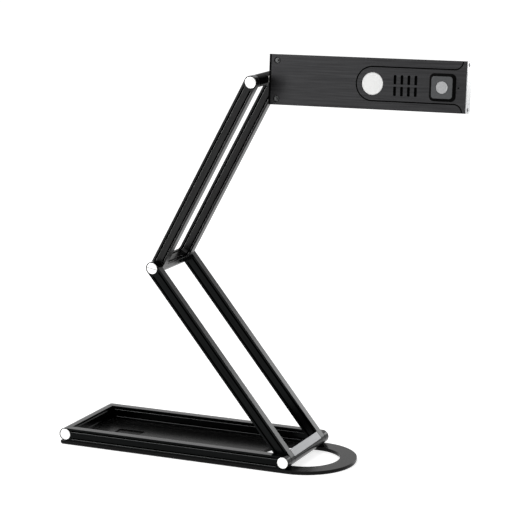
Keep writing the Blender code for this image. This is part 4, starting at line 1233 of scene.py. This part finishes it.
@dataclass
class LowerArm(Assembly):
    """The lower arm: two rails, a bar across their foot and its pale plate."""

    body = Body.LOWER_ARM
    place = POSE.lower
    bar_reach: float = 7.0 * MM
    plate_start: float = 1.4 * MM
    plate_thick: float = 1.0 * MM
    plate_edge: float = 0.18 * MM
    gap: float = 0.3 * MM
    dowel_place: float = -4.6 * MM
    dowel_bore: float = 1.4 * MM
    dowel_reach: float = 3.3 * MM

    def build(self) -> None:
        """Models and dresses the lower arm."""
        length = POSE.reach("base_hinge", "mid_hinge")
        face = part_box("lower_rail_far")[1].y
        for side in Side:
            self.rail(side, length, face)
        self.cross_bar(face - RAIL.thick)
        self.pale_plate()
        recoat(self.works.fastener, *pair("lower_bar_dowel"), "mid_hinge_bolt", "mid_hinge_nut")
        recoat(self.works.nylon, *pair("mid_hinge_washer"))
        PolishedDisc(self.works).fit("middle_hinge_disc", "mid_hinge", self.body,
                                     "mid_hinge_cap", 2 * face, slotted=True)

    def dowel_hole(self, side: Side, inner: float) -> Piece:
        """The body that cuts the dowel's hole across a rail and the bar."""
        ends = side.depths(inner - self.dowel_reach, inner + self.dowel_reach)
        return disc("dowel", self.dowel_bore, *ends, (self.dowel_place, 0, 0), Steps.THREAD)

    def rail(self, side: Side, length: float, face: float) -> None:
        """One rail, with the middle hinge's pocket at its top.

        Args:
            side: Which side of the arm it is on.
            length: From pin to pin.
            face: Depth of its outer face.
        """
        rail = RAIL.grooved_bar(f"lower_arm_rail_{side.word}", length, side, face)
        combine(rail, RAIL.pin_holes(-length, side, face)
                + [RAIL.through_bore(2 * face), self.dowel_hole(side, face - RAIL.thick)])
        self.finished(rail, self.works.lower_rail, "black_aluminium", f"lower_rail_{side.word}")

    def cross_bar(self, inner: float) -> None:
        """The bar at the arm's foot, round below the pins and sunk for its plate.

        Args:
            inner: Depth of the rails' inner faces.
        """
        reach = inner - self.gap
        bar = block("lower_arm_cross_bar", (-self.bar_reach, -reach, -RAIL.radius),
                    (RAIL.radius, reach, RAIL.radius))
        round_edges(bar, RAIL.radius, Arc.RAIL, along(Axis.Y, lambda c: c.x > 0))
        floor = RAIL.radius - self.plate_thick - self.gap
        seat = block("seat", (-self.bar_reach - OVERRUN, -reach - OVERRUN, floor),
                     (self.plate_start + self.gap, reach + OVERRUN, RAIL.radius + OVERRUN))
        soften(combine(bar, [seat]), RAIL.edge)
        combine(bar, [RAIL.through_bore(2 * inner)] + [self.dowel_hole(side, inner) for side in Side])
        self.finished(bar, self.works.lower_rail, "black_aluminium", "lower_cross_bar")

    def pale_plate(self) -> None:
        """The grey plate on that bar, its long edges chamfered."""
        low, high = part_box("lower_bar_plate")
        plate = block("lower_arm_pale_plate", (-self.bar_reach, low.y, RAIL.radius - self.plate_thick),
                      (self.plate_start, high.y, RAIL.radius))
        soften(plate, self.plate_edge, 2)
        self.finished(plate, self.works.cross_plate, "satin_silver", "lower_bar_plate")


@dataclass
class UpperArm(Assembly):
    """The upper arm: one frame of two rails and a round-cornered bar."""

    body = Body.UPPER_ARM
    place = POSE.upper
    bar_reach: float = 5.7 * MM
    fillet: float = 3.3 * MM

    def build(self) -> None:
        """Models and dresses the upper arm."""
        length = POSE.reach("mid_hinge", "head_tilt")
        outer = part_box("upper_arm_frame")[1].y
        inner = outer - RAIL.thick
        arm = RAIL.bar("upper_arm_rails_and_bar", 0.0, length, -outer, outer)
        room = block("room", (self.bar_reach, -inner, -2 * RAIL.radius),
                     (length + 2 * RAIL.radius, inner, 2 * RAIL.radius))
        round_edges(room, self.fillet, Arc.FILLET, along(Axis.Z, lambda c: c.x < length / 2))
        combine(arm, [room])
        last = length - RAIL.groove_end
        RAIL.groove(arm, RAIL.groove_end, last, along(Axis.Y, lambda c: abs(c.y) > outer - MERGE))
        RAIL.groove(arm, 0.0, last, lambda c, n: abs(n.z) < ACROSS
                    and c.x > self.bar_reach - MERGE and abs(c.y) < inner + MERGE)
        soften(arm, RAIL.edge)
        holes = [RAIL.through_bore(2 * outer)]
        for side in Side:
            holes += RAIL.pin_holes(length, side, outer)
        combine(arm, holes)
        self.finished(arm, self.works.upper_rail, "black_aluminium", "upper_arm_frame")
        recoat(self.works.fastener, "top_hinge_bolt", "top_hinge_nut")
        recoat(self.works.nylon, *pair("top_hinge_washer"))
        PolishedDisc(self.works).fit("top_hinge_disc", "head_tilt", self.body,
                                     "top_hinge_cap", 2 * outer)


@dataclass
class HeadHinge(Assembly):
    """The knuckle between the arm and the head, with the shaft the head swivels on."""

    body = Body.KNUCKLE
    place = POSE.knuckle
    radius: float = 6.4 * MM
    flat: float = 5.7 * MM
    edge: float = 0.5 * MM
    bore: float = 2.8 * MM
    seat_radius: float = 3.3 * MM
    flange_radius: float = 4.9 * MM
    flange: Span = (6.0 * MM, 7.0 * MM)
    shaft_radius: float = 3.0 * MM
    shaft: Span = (3.1 * MM, 20.1 * MM)
    centre_spot: float = 0.3 * MM

    def build(self) -> None:
        """Models and dresses the knuckle and its shaft."""
        low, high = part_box("hinge_knuckle")
        knuckle = disc("head_knuckle", self.radius, low.y, high.y, (0, 0, 0), Steps.KNUCKLE)
        with editing(knuckle, Pick.FACES):
            bpy.ops.mesh.bisect(plane_co=(self.flat, 0, 0), plane_no=(1, 0, 0), use_fill=True,
                                clear_outer=True)
        soften(knuckle, self.edge)
        combine(knuckle, [
            disc("bore", self.bore, 2 * low.y, 2 * high.y, (0, 0, 0), Steps.BORE),
            disc("seat", self.seat_radius, 0.0, self.radius, (0, 0, 0), Steps.BORE, Axis.X)])
        self.finished(knuckle, self.works.satin_paint, "black_aluminium", "hinge_knuckle")
        shaft = disc("head_swivel_shaft", self.flange_radius, *self.flange, (0, 0, 0),
                     Steps.SHAFT, Axis.X)
        step = self.flange_radius - self.shaft_radius
        for way, collar, end in zip(WAYS, self.flange, self.shaft):
            inset_steps(shaft, facing(Axis.X, way), (step, 0.0))
            draw_out(shaft, (end - collar, 0, 0),
                     facing(Axis.X, way, lambda c: math.hypot(c.y, c.z) < self.centre_spot))
        soften(shaft, self.edge / 3)
        self.finished(shaft, self.works.fastener, "steel", "swivel_shaft")


@dataclass(frozen=True)
class FaceScrew:
    """The screws of the head's face, modelled once at the origin with the head towards -Y."""

    place: float = 15.8 * MM
    spread: float = 19.0 * MM
    sunk: float = 0.5 * MM
    radius: float = 2.85 * MM
    rim: Span = (0.62 * MM, 0.7 * MM)
    slope: Span = (0.45 * MM, 0.57 * MM)
    shank_radius: float = 1.4 * MM
    shank_length: float = 5.8 * MM
    socket_radius: float = 1.3 * MM
    socket_depth: float = 4.4 * MM
    edge: float = 0.08 * MM
    mouth_radius: float = 3.4 * MM
    mouth_depth: float = 1.2 * MM
    bore_radius: float = 1.7 * MM
    bore_depth: float = 7.3 * MM

    def model(self) -> Piece:
        """A screw with a hexagon socket."""
        screw = disc("face_screw", self.radius, *self.rim, (0, 0, 0), Steps.SHAFT)
        inset_steps(screw, facing(Axis.Y, -1), self.slope)
        inset_steps(screw, facing(Axis.Y, 1), (self.radius - self.shank_radius, 0.0))
        draw_out(screw, (0, self.shank_length, 0), facing(Axis.Y, 1, on_axis(self.shank_radius)))
        socket = disc("socket", self.socket_radius, -OVERRUN, self.socket_depth, (0, 0, 0),
                      Steps.HEXAGON)
        return combine(soften(screw, self.edge), [socket])

    def holes(self, face: float) -> list[Piece]:
        """Bodies that cut the two counterbored holes.

        Args:
            face: Depth of the head's face.

        Returns:
            A mouth and a bore at each screw.
        """
        holes = []
        for way in WAYS:
            centre = (self.place, 0, way * self.spread)
            holes.append(disc("mouth", self.mouth_radius, face - OVERRUN, face + self.mouth_depth,
                              centre, Steps.SEAT))
            holes.append(disc("bore", self.bore_radius, face, face + self.bore_depth, centre,
                              Steps.THREAD))
        return holes


@dataclass(frozen=True)
class EndScrew:
    """The screws of the silver end plate, modelled once like those of the face."""

    depth: float = -1.4 * MM
    spread: float = 21.5 * MM
    radius: float = 1.0 * MM
    length: float = 6.0 * MM
    head_depth: float = 0.9 * MM
    head_share: float = 1.9
    cross_long: float = 0.95 * MM
    cross_short: float = 0.22 * MM
    cross_depth: float = 0.45 * MM
    edge: float = 0.06 * MM
    bore_radius: float = 1.3 * MM
    bore_depth: float = 6.3 * MM
    bore_start: float = 0.8 * MM
    mouth_radius: float = 2.2 * MM

    def model(self) -> Piece:
        """A countersunk screw with a cross recess."""
        screw = disc("end_screw", self.radius, self.head_depth, self.length, (0, 0, 0), Steps.SEAT)
        draw_out(screw, (0, -self.head_depth, 0), facing(Axis.Y, -1))
        widen(screw, self.head_share, (0, 0, 0), facing(Axis.Y, -1))
        cross = [block("cross", (-x, -OVERRUN, -z), (x, self.cross_depth, z))
                 for x, z in ((self.cross_long, self.cross_short),
                              (self.cross_short, self.cross_long))]
        return combine(soften(screw, self.edge), cross)

    def holes(self, end: float) -> list[Piece]:
        """Bodies that cut the two countersunk holes.

        Args:
            end: Where the head ends along X.

        Returns:
            A cone and a bore at each screw.
        """
        holes = []
        for way in WAYS:
            centre = (0, self.depth, way * self.spread)
            holes.append(disc("cone", self.bore_radius, end - self.head_depth, end + MERGE, centre,
                              Steps.BORE, Axis.X, self.mouth_radius))
            holes.append(disc("bore", self.bore_radius, end - self.bore_depth,
                              end - self.bore_start, centre, Steps.BORE, Axis.X))
        return holes


@dataclass(frozen=True)
class UsbSocket:
    """The socket in the head's low side, in the head's frame."""

    length: Span = (39.8 * MM, 48.2 * MM)
    depth: Span = (-2.25 * MM, 1.15 * MM)
    height: Span = (-25.0 * MM, -18.0 * MM)
    corner: float = 0.85 * MM
    mouth_corner: float = 0.5 * MM
    edge: float = 0.06 * MM
    wall: float = 0.4 * MM
    tongue: Triple = (2.1 * MM, 0.4 * MM, 0.2 * MM)

    def room(self, grow: float) -> tuple[Vector, Vector]:
        """Corners of the socket.

        Args:
            grow: How far they are outside it along X and Y.

        Returns:
            The lowest and the highest corner.
        """
        out = Vector((grow, grow, 0))
        low, high = (Vector(corner) for corner in zip(self.length, self.depth, self.height))
        return low - out, high + out

    def model(self) -> Piece:
        """A steel shell, open below, with its tongue."""
        low, high = self.room(0.0)
        shell = block("usb_socket_shell", low, high)
        round_edges(shell, self.corner, Arc.SMALL, along(Axis.Z))
        soften(shell, self.edge)
        wall = Vector(even(self.wall))
        mouth = block("mouth", low - Vector((0, 0, OVERRUN)) + wall, high - wall)
        round_edges(mouth, self.mouth_corner, Arc.TINY, along(Axis.Z))
        combine(shell, [mouth])
        middle = (low + high) / 2
        wide, thick, short = self.tongue
        tongue = block("tongue", (middle.x - wide, middle.y - thick, low.z + self.wall),
                       (middle.x + wide, middle.y + thick, high.z - short))
        return combine(shell, [tongue], Operation.JOIN)


@dataclass
class CameraHead(Assembly):
    """The camera head: shell, end plates, brushed face with its tongue, lamp, slots and lens.

    It is modelled in the head's frame: X from the hinge to the free end, the face towards -Y.
    """

    body = Body.HEAD
    place = POSE.head
    start: float = 7.3 * MM
    root_end: float = 9.3 * MM
    shell_start: float = 9.6 * MM
    shell_end: float = 213.5 * MM
    plate_start: float = 213.8 * MM
    end: float = 214.5 * MM
    face: float = -5.75 * MM
    panel_back: float = -4.35 * MM
    shell_front: float = -4.05 * MM
    back: float = 5.75 * MM
    half: float = 25.0 * MM
    back_radius: float = 4.5 * MM
    wall: float = 1.5 * MM
    gap: float = 0.3 * MM
    panel_gap: float = 1.2 * MM
    edge: float = 0.15 * MM
    shaft_bore: float = 3.3 * MM
    drop: float = -0.9 * MM
    lens_place: float = 189.8 * MM
    lamp_place: float = 117.4 * MM
    lamp_opening: float = 11.2 * MM
    tongue_half: float = 16.0 * MM
    flare_start: float = 201.5 * MM
    slots_place: float = 151.6 * MM
    slot_pitch: float = 7.15 * MM
    slot_row: float = 5.6 * MM
    slot_count: int = 4
    slot_size: Span = (2.9 * MM, 9.1 * MM)
    slot_corner: float = 1.0 * MM
    pinhole_place: float = 205.75 * MM
    pinhole_radius: float = 0.9 * MM
    window_half: float = 10.7 * MM
    window_corner: float = 3.0 * MM
    boss_radius: float = 3.4 * MM
    post_radius: float = 2.2 * MM
    post_front: float = 2.95 * MM
    post_places: Span = (42.8 * MM, 189.2 * MM)
    block_length: float = 8.0 * MM
    block_height: Span = (17.75 * MM, 24.25 * MM)
    face_screw: FaceScrew = FaceScrew()
    end_screw: EndScrew = EndScrew()
    socket: UsbSocket = UsbSocket()

    def build(self) -> None:
        """Models and dresses the head."""
        self.housing()
        self.end_plates()
        self.face_panel()
        self.tongue_panel()
        self.screws()
        self.finished(self.socket.model(), self.works.fastener, "steel", "usb_socket")
        LensAndLamp(self.works, self).build()
        recoat(self.works.fastener, "swivel_nut", "swivel_washer")
        # The boards get the painted gap shade.
        recoat(self.works.board, "main_board", "lamp_board")
        recoat(self.works.nylon, "image_sensor", "lens_barrel")
        # The microphone gets the painted slot shade.
        recoat(self.works.felt, "microphone")

    def section(self, name: str, start: float, end: float, front: float,
                inset: float = 0.0) -> Piece:
        """A length of the head's section: flat in front, with both back edges round.

        Args:
            name: Name of the piece.
            start: Where it starts along the head.
            end: Where it ends.
            front: Depth of its front.
            inset: How far its other sides are inside the head's.

        Returns:
            The length.
        """
        half = self.half - inset
        piece = block(name, (start, front, -half), (end, self.back - inset, half))
        return round_edges(piece, self.back_radius - inset, Arc.BACK, along(Axis.X, lambda c: c.y > 0))

    def housing(self) -> None:
        """The shell: a trough with its screw bosses, posts and holes."""
        shell = self.section("head_shell", self.shell_start, self.shell_end, self.shell_front)
        soften(shell, self.edge)
        combine(shell, [self.section("trough", self.shell_start + self.wall, self.shell_end + OVERRUN,
                                     self.shell_front - OVERRUN, self.wall)])
        sunk = self.back - self.wall / 2
        screw = self.face_screw
        posts = [disc("boss", self.boss_radius, self.shell_front, sunk,
                      (screw.place, 0, way * screw.spread), Steps.THREAD) for way in WAYS]
        posts += [disc("post", self.post_radius, self.post_front, sunk, (x, 0, 0), Steps.THREAD)
                  for x in self.post_places]
        for way in WAYS:
            low, high = sorted(way * height for height in self.block_height)
            posts.append(block("corner", (self.shell_end - self.block_length, self.shell_front, low),
                               (self.shell_end, self.back - self.back_radius, high)))
        combine(shell, posts, Operation.JOIN)
        low, high = self.socket.room(self.gap)
        low.z = -2 * self.half
        high.z = self.wall * 2 - self.half
        combine(shell, [self.shaft_hole(), block("socket", low, high)]
                + screw.holes(self.face) + self.end_screw.holes(self.end))
        self.finished(shell, self.works.head_shell, "black_aluminium", "head_housing")

    def shaft_hole(self) -> Piece:
        """The body that cuts the swivel shaft's hole."""
        return disc("shaft_hole", self.shaft_bore, 0.0, self.shell_start + 2 * self.wall,
                    (0, 0, 0), Steps.SEAT, Axis.X)

    def end_plates(self) -> None:
        """The black plate at the hinge and the silver plate at the free end."""
        root = self.section("head_plate_at_the_hinge", self.start, self.root_end, self.face)
        combine(soften(root, self.edge), [self.shaft_hole()])
        self.finished(root, self.works.satin_paint, "black_plastic", "head_root_plate")
        plate = self.section("head_silver_end_plate", self.plate_start, self.end, self.face)
        combine(soften(plate, self.edge / 2), self.end_screw.holes(self.end))
        self.finished(plate, self.works.silver_plate, "satin_silver", "head_end_plate")

    def tongue_body(self, name: str, grow: float, low: float, high: float) -> Piece:
        """The tongue's form: round about the lamp, straight, then flared in two hollow curves.

        Args:
            name: Name of the piece.
            grow: How far its outline is outside the tongue's.
            low: Depth of its front.
            high: Depth of its back.

        Returns:
            The form, as a piece or as the body that makes room for it.
        """
        half = self.tongue_half + grow
        stem = block(name, (self.lamp_place - half, low, -half),
                     (self.flare_start + grow, high, half))
        round_edges(stem, half, Arc.OPENING, along(Axis.Y, lambda c: c.x < self.lamp_place))
        wide = block("flare", (self.flare_start, low, -self.half - grow),
                     (self.shell_end + grow, high, self.half + grow))
        combine(stem, [wide], Operation.JOIN)
        radius = self.half - half
        return combine(stem, [disc("hollow", radius, low - OVERRUN, high + OVERRUN,
                                   (self.flare_start, 0, way * self.half), Steps.DISC)
                              for way in WAYS])

    def face_panel(self) -> None:
        """The brushed plate round the tongue."""
        panel = block("head_brushed_face", (self.shell_start, self.face, -self.half),
                      (self.shell_end, self.panel_back, self.half))
        room = self.tongue_body("room", self.panel_gap, self.face - OVERRUN,
                                self.panel_back + OVERRUN)
        soften(combine(panel, [room]), self.edge / 2)
        combine(panel, self.face_screw.holes(self.face))
        self.finished(panel, self.works.head_plate, "brushed_black_aluminium", "head_front_panel")

    def tongue_panel(self) -> None:
        """The brushed plate that carries lamp, slots and lens."""
        tongue = self.tongue_body("head_brushed_tongue", 0.0, self.face, self.panel_back)
        soften(tongue, self.edge / 2)
        low, high = self.face - OVERRUN, self.panel_back + OVERRUN
        openings = [disc("lamp", self.lamp_opening, low, high, (self.lamp_place, 0, 0), Steps.DISC),
                    disc("pinhole", self.pinhole_radius, low, high,
                         (self.pinhole_place, 0, self.drop), Steps.BORE)]
        half = self.window_half + self.gap
        window = block("window", (self.lens_place - half, low, self.drop - half),
                       (self.lens_place + half, high, self.drop + half))
        openings.append(round_edges(window, self.window_corner, Arc.CORNER, along(Axis.Y)))
        combine(tongue, openings + self.slots(low, high))
        self.finished(tongue, self.works.head_plate, "brushed_black_aluminium", "head_tongue_panel")

    def slots(self, low: float, high: float) -> list[Piece]:
        """Bodies that cut the two rows of slots, one modelled and the others copied.

        Args:
            low: Depth where they start.
            high: Depth where they end.

        Returns:
            The bodies, each in its place.
        """
        width, length = self.slot_size
        slot = block("slot", (-width / 2, low, -length / 2), (width / 2, high, length / 2))
        round_edges(slot, self.slot_corner, Arc.SMALL, along(Axis.Y))
        middle = (self.slot_count - 1) / 2
        bodies = []
        for row in WAYS:
            for i in range(self.slot_count):
                place = (self.slots_place + self.slot_pitch * (i - middle), 0,
                         self.drop + row * self.slot_row)
                bodies.append(settle(copied(slot, "slot_copy"), Matrix.Translation(place)))
        bpy.data.objects.remove(slot)
        return bodies

    def screws(self) -> None:
        """The two face screws and the two screws of the end plate."""
        face, end = self.face_screw, self.end_screw
        models = (face.model(), end.model())
        for way, word, label in zip(WAYS, ("below", "above"), ("low", "high")):
            place = Vector((face.place, self.face + face.sunk, way * face.spread))
            piece = settle(copied(models[0], f"face_screw_{word}"), Matrix.Translation(place))
            self.finished(piece, self.works.dark_screw, "steel", f"face_screw_{label}")
            place = Vector((self.end, end.depth, way * end.spread))
            piece = settle(copied(models[1], f"end_screw_{word}"), Matrix.Translation(place)
                           @ Matrix.Rotation(math.pi / 2, 4, "Z"))
            self.finished(piece, self.works.small_screw, "steel", f"end_plate_screw_{label}")
        for model in models:
            bpy.data.objects.remove(model)


@dataclass
class LensAndLamp(Assembly):
    """What the tongue carries: the raised lens surround with its window and glass, and the lamp."""

    body = Body.HEAD
    place = POSE.head
    head: CameraHead
    foot: float = 27.0 * MM
    top: float = 23.0 * MM
    height: float = 2.7 * MM
    corner: float = 5.0 * MM
    sink: float = 0.1 * MM
    window_thick: float = 0.8 * MM
    glass_radius: float = 5.9 * MM
    glass_thick: float = 1.0 * MM
    glass_edge: float = 0.1 * MM
    ring: float = 0.7 * MM
    crown: float = 0.15 * MM
    dome: Spans = ((0.15, 0.04 * MM), (0.2, 0.03 * MM), (0.25, 0.02 * MM), (0.25, 0.01 * MM))
    surround_edge: float = 0.14 * MM
    edge: float = 0.12 * MM
    tunnel: float = 7.3 * MM
    lamp_radius: float = 10.9 * MM
    lamp_flange: float = 12.3 * MM
    lamp_recess: float = 0.5 * MM
    lamp_thick: float = 1.2 * MM
    lamp_rim: Spans = ((0.5 * MM, 0.0), (0.25 * MM, 0.06 * MM))

    def build(self) -> None:
        """Models and dresses the surround, the window plate, the glass and the lamp."""
        head = self.head
        crest = head.face - self.height
        lens = self.axis()
        surround = self.square("lens_surround", self.foot / 2, self.corner, crest,
                               head.face - head.gap)
        widen(surround, self.top / self.foot, lens + Vector((0, crest, 0)), facing(Axis.Y, -1))
        soften(surround, self.surround_edge)
        deep = crest + self.sink + self.window_thick + head.gap
        combine(surround, [
            self.square("seat", head.window_half + head.gap, head.window_corner + head.gap,
                        crest - OVERRUN, deep),
            disc("tunnel", self.tunnel, crest - OVERRUN, head.face + OVERRUN, lens, Steps.SHAFT)])
        self.finished(surround, self.works.satin_paint, "black_plastic", "lens_bezel")

        front = crest + self.sink
        window = self.square("lens_window_plate", head.window_half, head.window_corner, front,
                             front + self.window_thick)
        soften(window, self.edge)
        combine(window, [disc("hole", self.glass_radius + head.gap, front - OVERRUN,
                              front + OVERRUN, lens, Steps.DISC)])
        self.finished(window, self.works.window_grey, "grey_plastic", "lens_plate")
        self.glass(front)
        self.lamp()

    def axis(self) -> Vector:
        """A point on the lens axis, at the depth of the head's middle."""
        return Vector((self.head.lens_place, 0, self.head.drop))

    def square(self, name: str, half: float, corner: float, low: float, high: float) -> Piece:
        """A square body about the lens axis, with round corners.

        Args:
            name: Name of the piece.
            half: Half its width.
            corner: Radius of its corners.
            low: Depth of its front.
            high: Depth of its back.

        Returns:
            The body.
        """
        x, z = self.head.lens_place, self.head.drop
        piece = block(name, (x - half, low, z - half), (x + half, high, z + half))
        return round_edges(piece, corner, Arc.FILLET, along(Axis.Y))

    def glass(self, front: float) -> None:
        """The front glass: a bevelled rim, then a shallow dome.

        Args:
            front: Depth of its highest point.
        """
        glass = disc("lens_front_glass", self.glass_radius, front + self.crown,
                     front + self.glass_thick, self.axis(), Steps.DISC)
        dome, edge = self.glass_radius - self.ring, self.glass_edge
        inset_steps(glass, facing(Axis.Y, -1), (self.ring, 0.0), (edge, -edge),
                    *((dome * share, rise) for share, rise in self.dome))
        soften(glass, edge)
        self.finished(glass, self.works.lens, "lens_glass", "lens_glass")

    def lamp(self) -> None:
        """The lamp's cover: a disc in the tongue's opening on a flange behind it."""
        head = self.head
        front = head.face + self.lamp_recess
        back = head.panel_back + head.gap
        cover = disc("lamp_cover", self.lamp_flange, back, back + self.lamp_thick,
                     (head.lamp_place, 0, 0), Steps.LAMP)
        inset_steps(cover, facing(Axis.Y, -1), (self.lamp_flange - self.lamp_radius, 0.0))
        middle = facing(Axis.Y, -1, on_axis(self.lamp_recess, head.lamp_place))
        draw_out(cover, (0, front - back, 0), middle)
        inset_steps(cover, middle, *self.lamp_rim)
        soften(cover, self.edge)
        self.finished(cover, self.works.diffuser, "white_diffuser", "lamp_diffuser")


@dataclass
class Studio:
    """A plain pale floor, soft lights and the camera at the photograph's angle."""

    target: Vector = field(default_factory=lambda: Vector((0.05815, 0.0, 0.20035)))
    shift: float = 0.508 * MM
    distance: float = 2.1344
    azimuth: float = math.radians(24.3)
    elevation: float = math.radians(12.01)
    roll: float = math.radians(-0.09)
    focal_share: float = 2100 / 530
    sensor: float = 36.0
    floor_size: float = 60.0
    paper: str = "E0E0E0"
    white: str = "FFFFFF"
    paper_glow: float = 0.6
    world_light: float = 0.6
    clip_start: float = 0.05
    softboxes: tuple[tuple[str, Triple, float, float], ...] = (
        ("key_softbox", (-2.2, -2.1, 0.9), 1.8, 48.0),
        ("top_softbox", (-0.6, -0.8, 3.0), 2.2, 22.0),
        ("back_softbox", (0.6, 2.6, 1.9), 2.2, 4.0),
        ("low_softbox", (0.52, 1.3, 0.42), 0.36, 2.1))

    def build(self) -> None:
        """Makes the floor, the world, the lights and the camera."""
        self.floor()
        self.world()
        for name, place, size, power in self.softboxes:
            self.lamp(name, place, size, power)
        self.camera()

    def floor(self) -> None:
        """A pale floor that keeps the shadow and shows as white."""
        bpy.ops.object.select_all(action="DESELECT")
        bpy.ops.mesh.primitive_plane_add(size=self.floor_size)
        floor = named("studio_floor")
        material = bpy.data.materials.new("pale_studio_paper")
        material.use_nodes = True
        tree = material.node_tree
        tree.nodes.clear()
        matt = add_node(tree, "ShaderNodeBsdfDiffuse", values={"Color": colour(self.paper)})
        glow = add_node(tree, "ShaderNodeEmission", {"Strength": self.seen(tree, self.paper_glow)},
                        {"Color": colour(self.white)})
        both = add_node(tree, "ShaderNodeAddShader", {0: matt.outputs[0], 1: glow.outputs[0]})
        add_node(tree, "ShaderNodeOutputMaterial", {"Surface": both.outputs[0]})
        floor.data.materials.append(material)

    def seen(self, tree: Tree, strength: float, hidden: float = 0.0) -> Socket:
        """Strength of a backdrop: one value to eye, mirror and glass, another as light.

        Args:
            tree: The nodes to add to.
            strength: Value where it is seen, directly or in metal or glass.
            hidden: Value for the light that it casts.

        Returns:
            The value's socket.
        """
        path = add_node(tree, "ShaderNodeLightPath")
        eye = add_node(tree, "ShaderNodeMath", {0: path.outputs["Is Camera Ray"],
                                                1: path.outputs["Is Glossy Ray"]}, operation="MAXIMUM")
        any_ray = add_node(tree, "ShaderNodeMath", {0: eye.outputs[0],
                                                    1: path.outputs["Is Transmission Ray"]},
                           operation="MAXIMUM")
        mix = add_node(tree, "ShaderNodeMix", {"Factor": any_ray.outputs[0]},
                       {"A": hidden, "B": strength})
        return mix.outputs[0]

    def world(self) -> None:
        """White where it is seen, softer as light."""
        world = bpy.data.worlds.new("studio_world")
        bpy.context.scene.world = world
        world.use_nodes = True
        tree = world.node_tree
        back = tree.nodes["Background"]
        back.inputs["Color"].default_value = colour(self.white)
        tree.links.new(self.seen(tree, 1.0, self.world_light), back.inputs["Strength"])

    def lamp(self, name: str, place: Triple, size: float, power: float) -> None:
        """Adds a square softbox that points at the object.

        Args:
            name: Its name.
            place: Where it stands.
            size: Its side.
            power: Its power in watts.
        """
        light = bpy.data.lights.new(name, "AREA")
        light.size = size
        light.energy = power
        lamp = bpy.data.objects.new(name, light)
        bpy.context.scene.collection.objects.link(lamp)
        lamp.location = place
        lamp.rotation_euler = (self.target - Vector(place)).to_track_quat("-Z", "Y").to_euler()

    def camera(self) -> None:
        """The camera solved from the photograph's straight edges."""
        back = Vector((math.sin(self.azimuth) * math.cos(self.elevation),
                       -math.cos(self.azimuth) * math.cos(self.elevation), math.sin(self.elevation)))
        right = Vector((math.cos(self.azimuth), math.sin(self.azimuth), 0.0))
        up = back.cross(right)
        turned_right = math.cos(self.roll) * right + math.sin(self.roll) * up
        turned_up = back.cross(turned_right)
        data = bpy.data.cameras.new("photo_camera")
        data.sensor_fit = "HORIZONTAL"
        data.sensor_width = self.sensor
        data.lens = self.focal_share * self.sensor
        data.clip_start = self.clip_start
        data.clip_end = self.floor_size
        camera = bpy.data.objects.new("photo_camera", data)
        bpy.context.scene.collection.objects.link(camera)
        turn = Matrix((turned_right, turned_up, back)).transposed().to_4x4()
        place = self.target + back * self.distance + (turned_up - turned_right) * self.shift
        camera.matrix_world = Matrix.Translation(place) @ turn
        bpy.context.scene.camera = camera


def main() -> None:
    """Builds the camera, assembly by assembly, and the studio round it."""
    bpy.context.scene.view_settings.view_transform = "Standard"
    works = Workshop()
    for assembly in (TrayBase(works), LowerArm(works), UpperArm(works), HeadHinge(works),
                     CameraHead(works), Studio()):
        LOG.info("building %s", type(assembly).__name__)
        assembly.build()


if __name__ == "__main__":
    main()
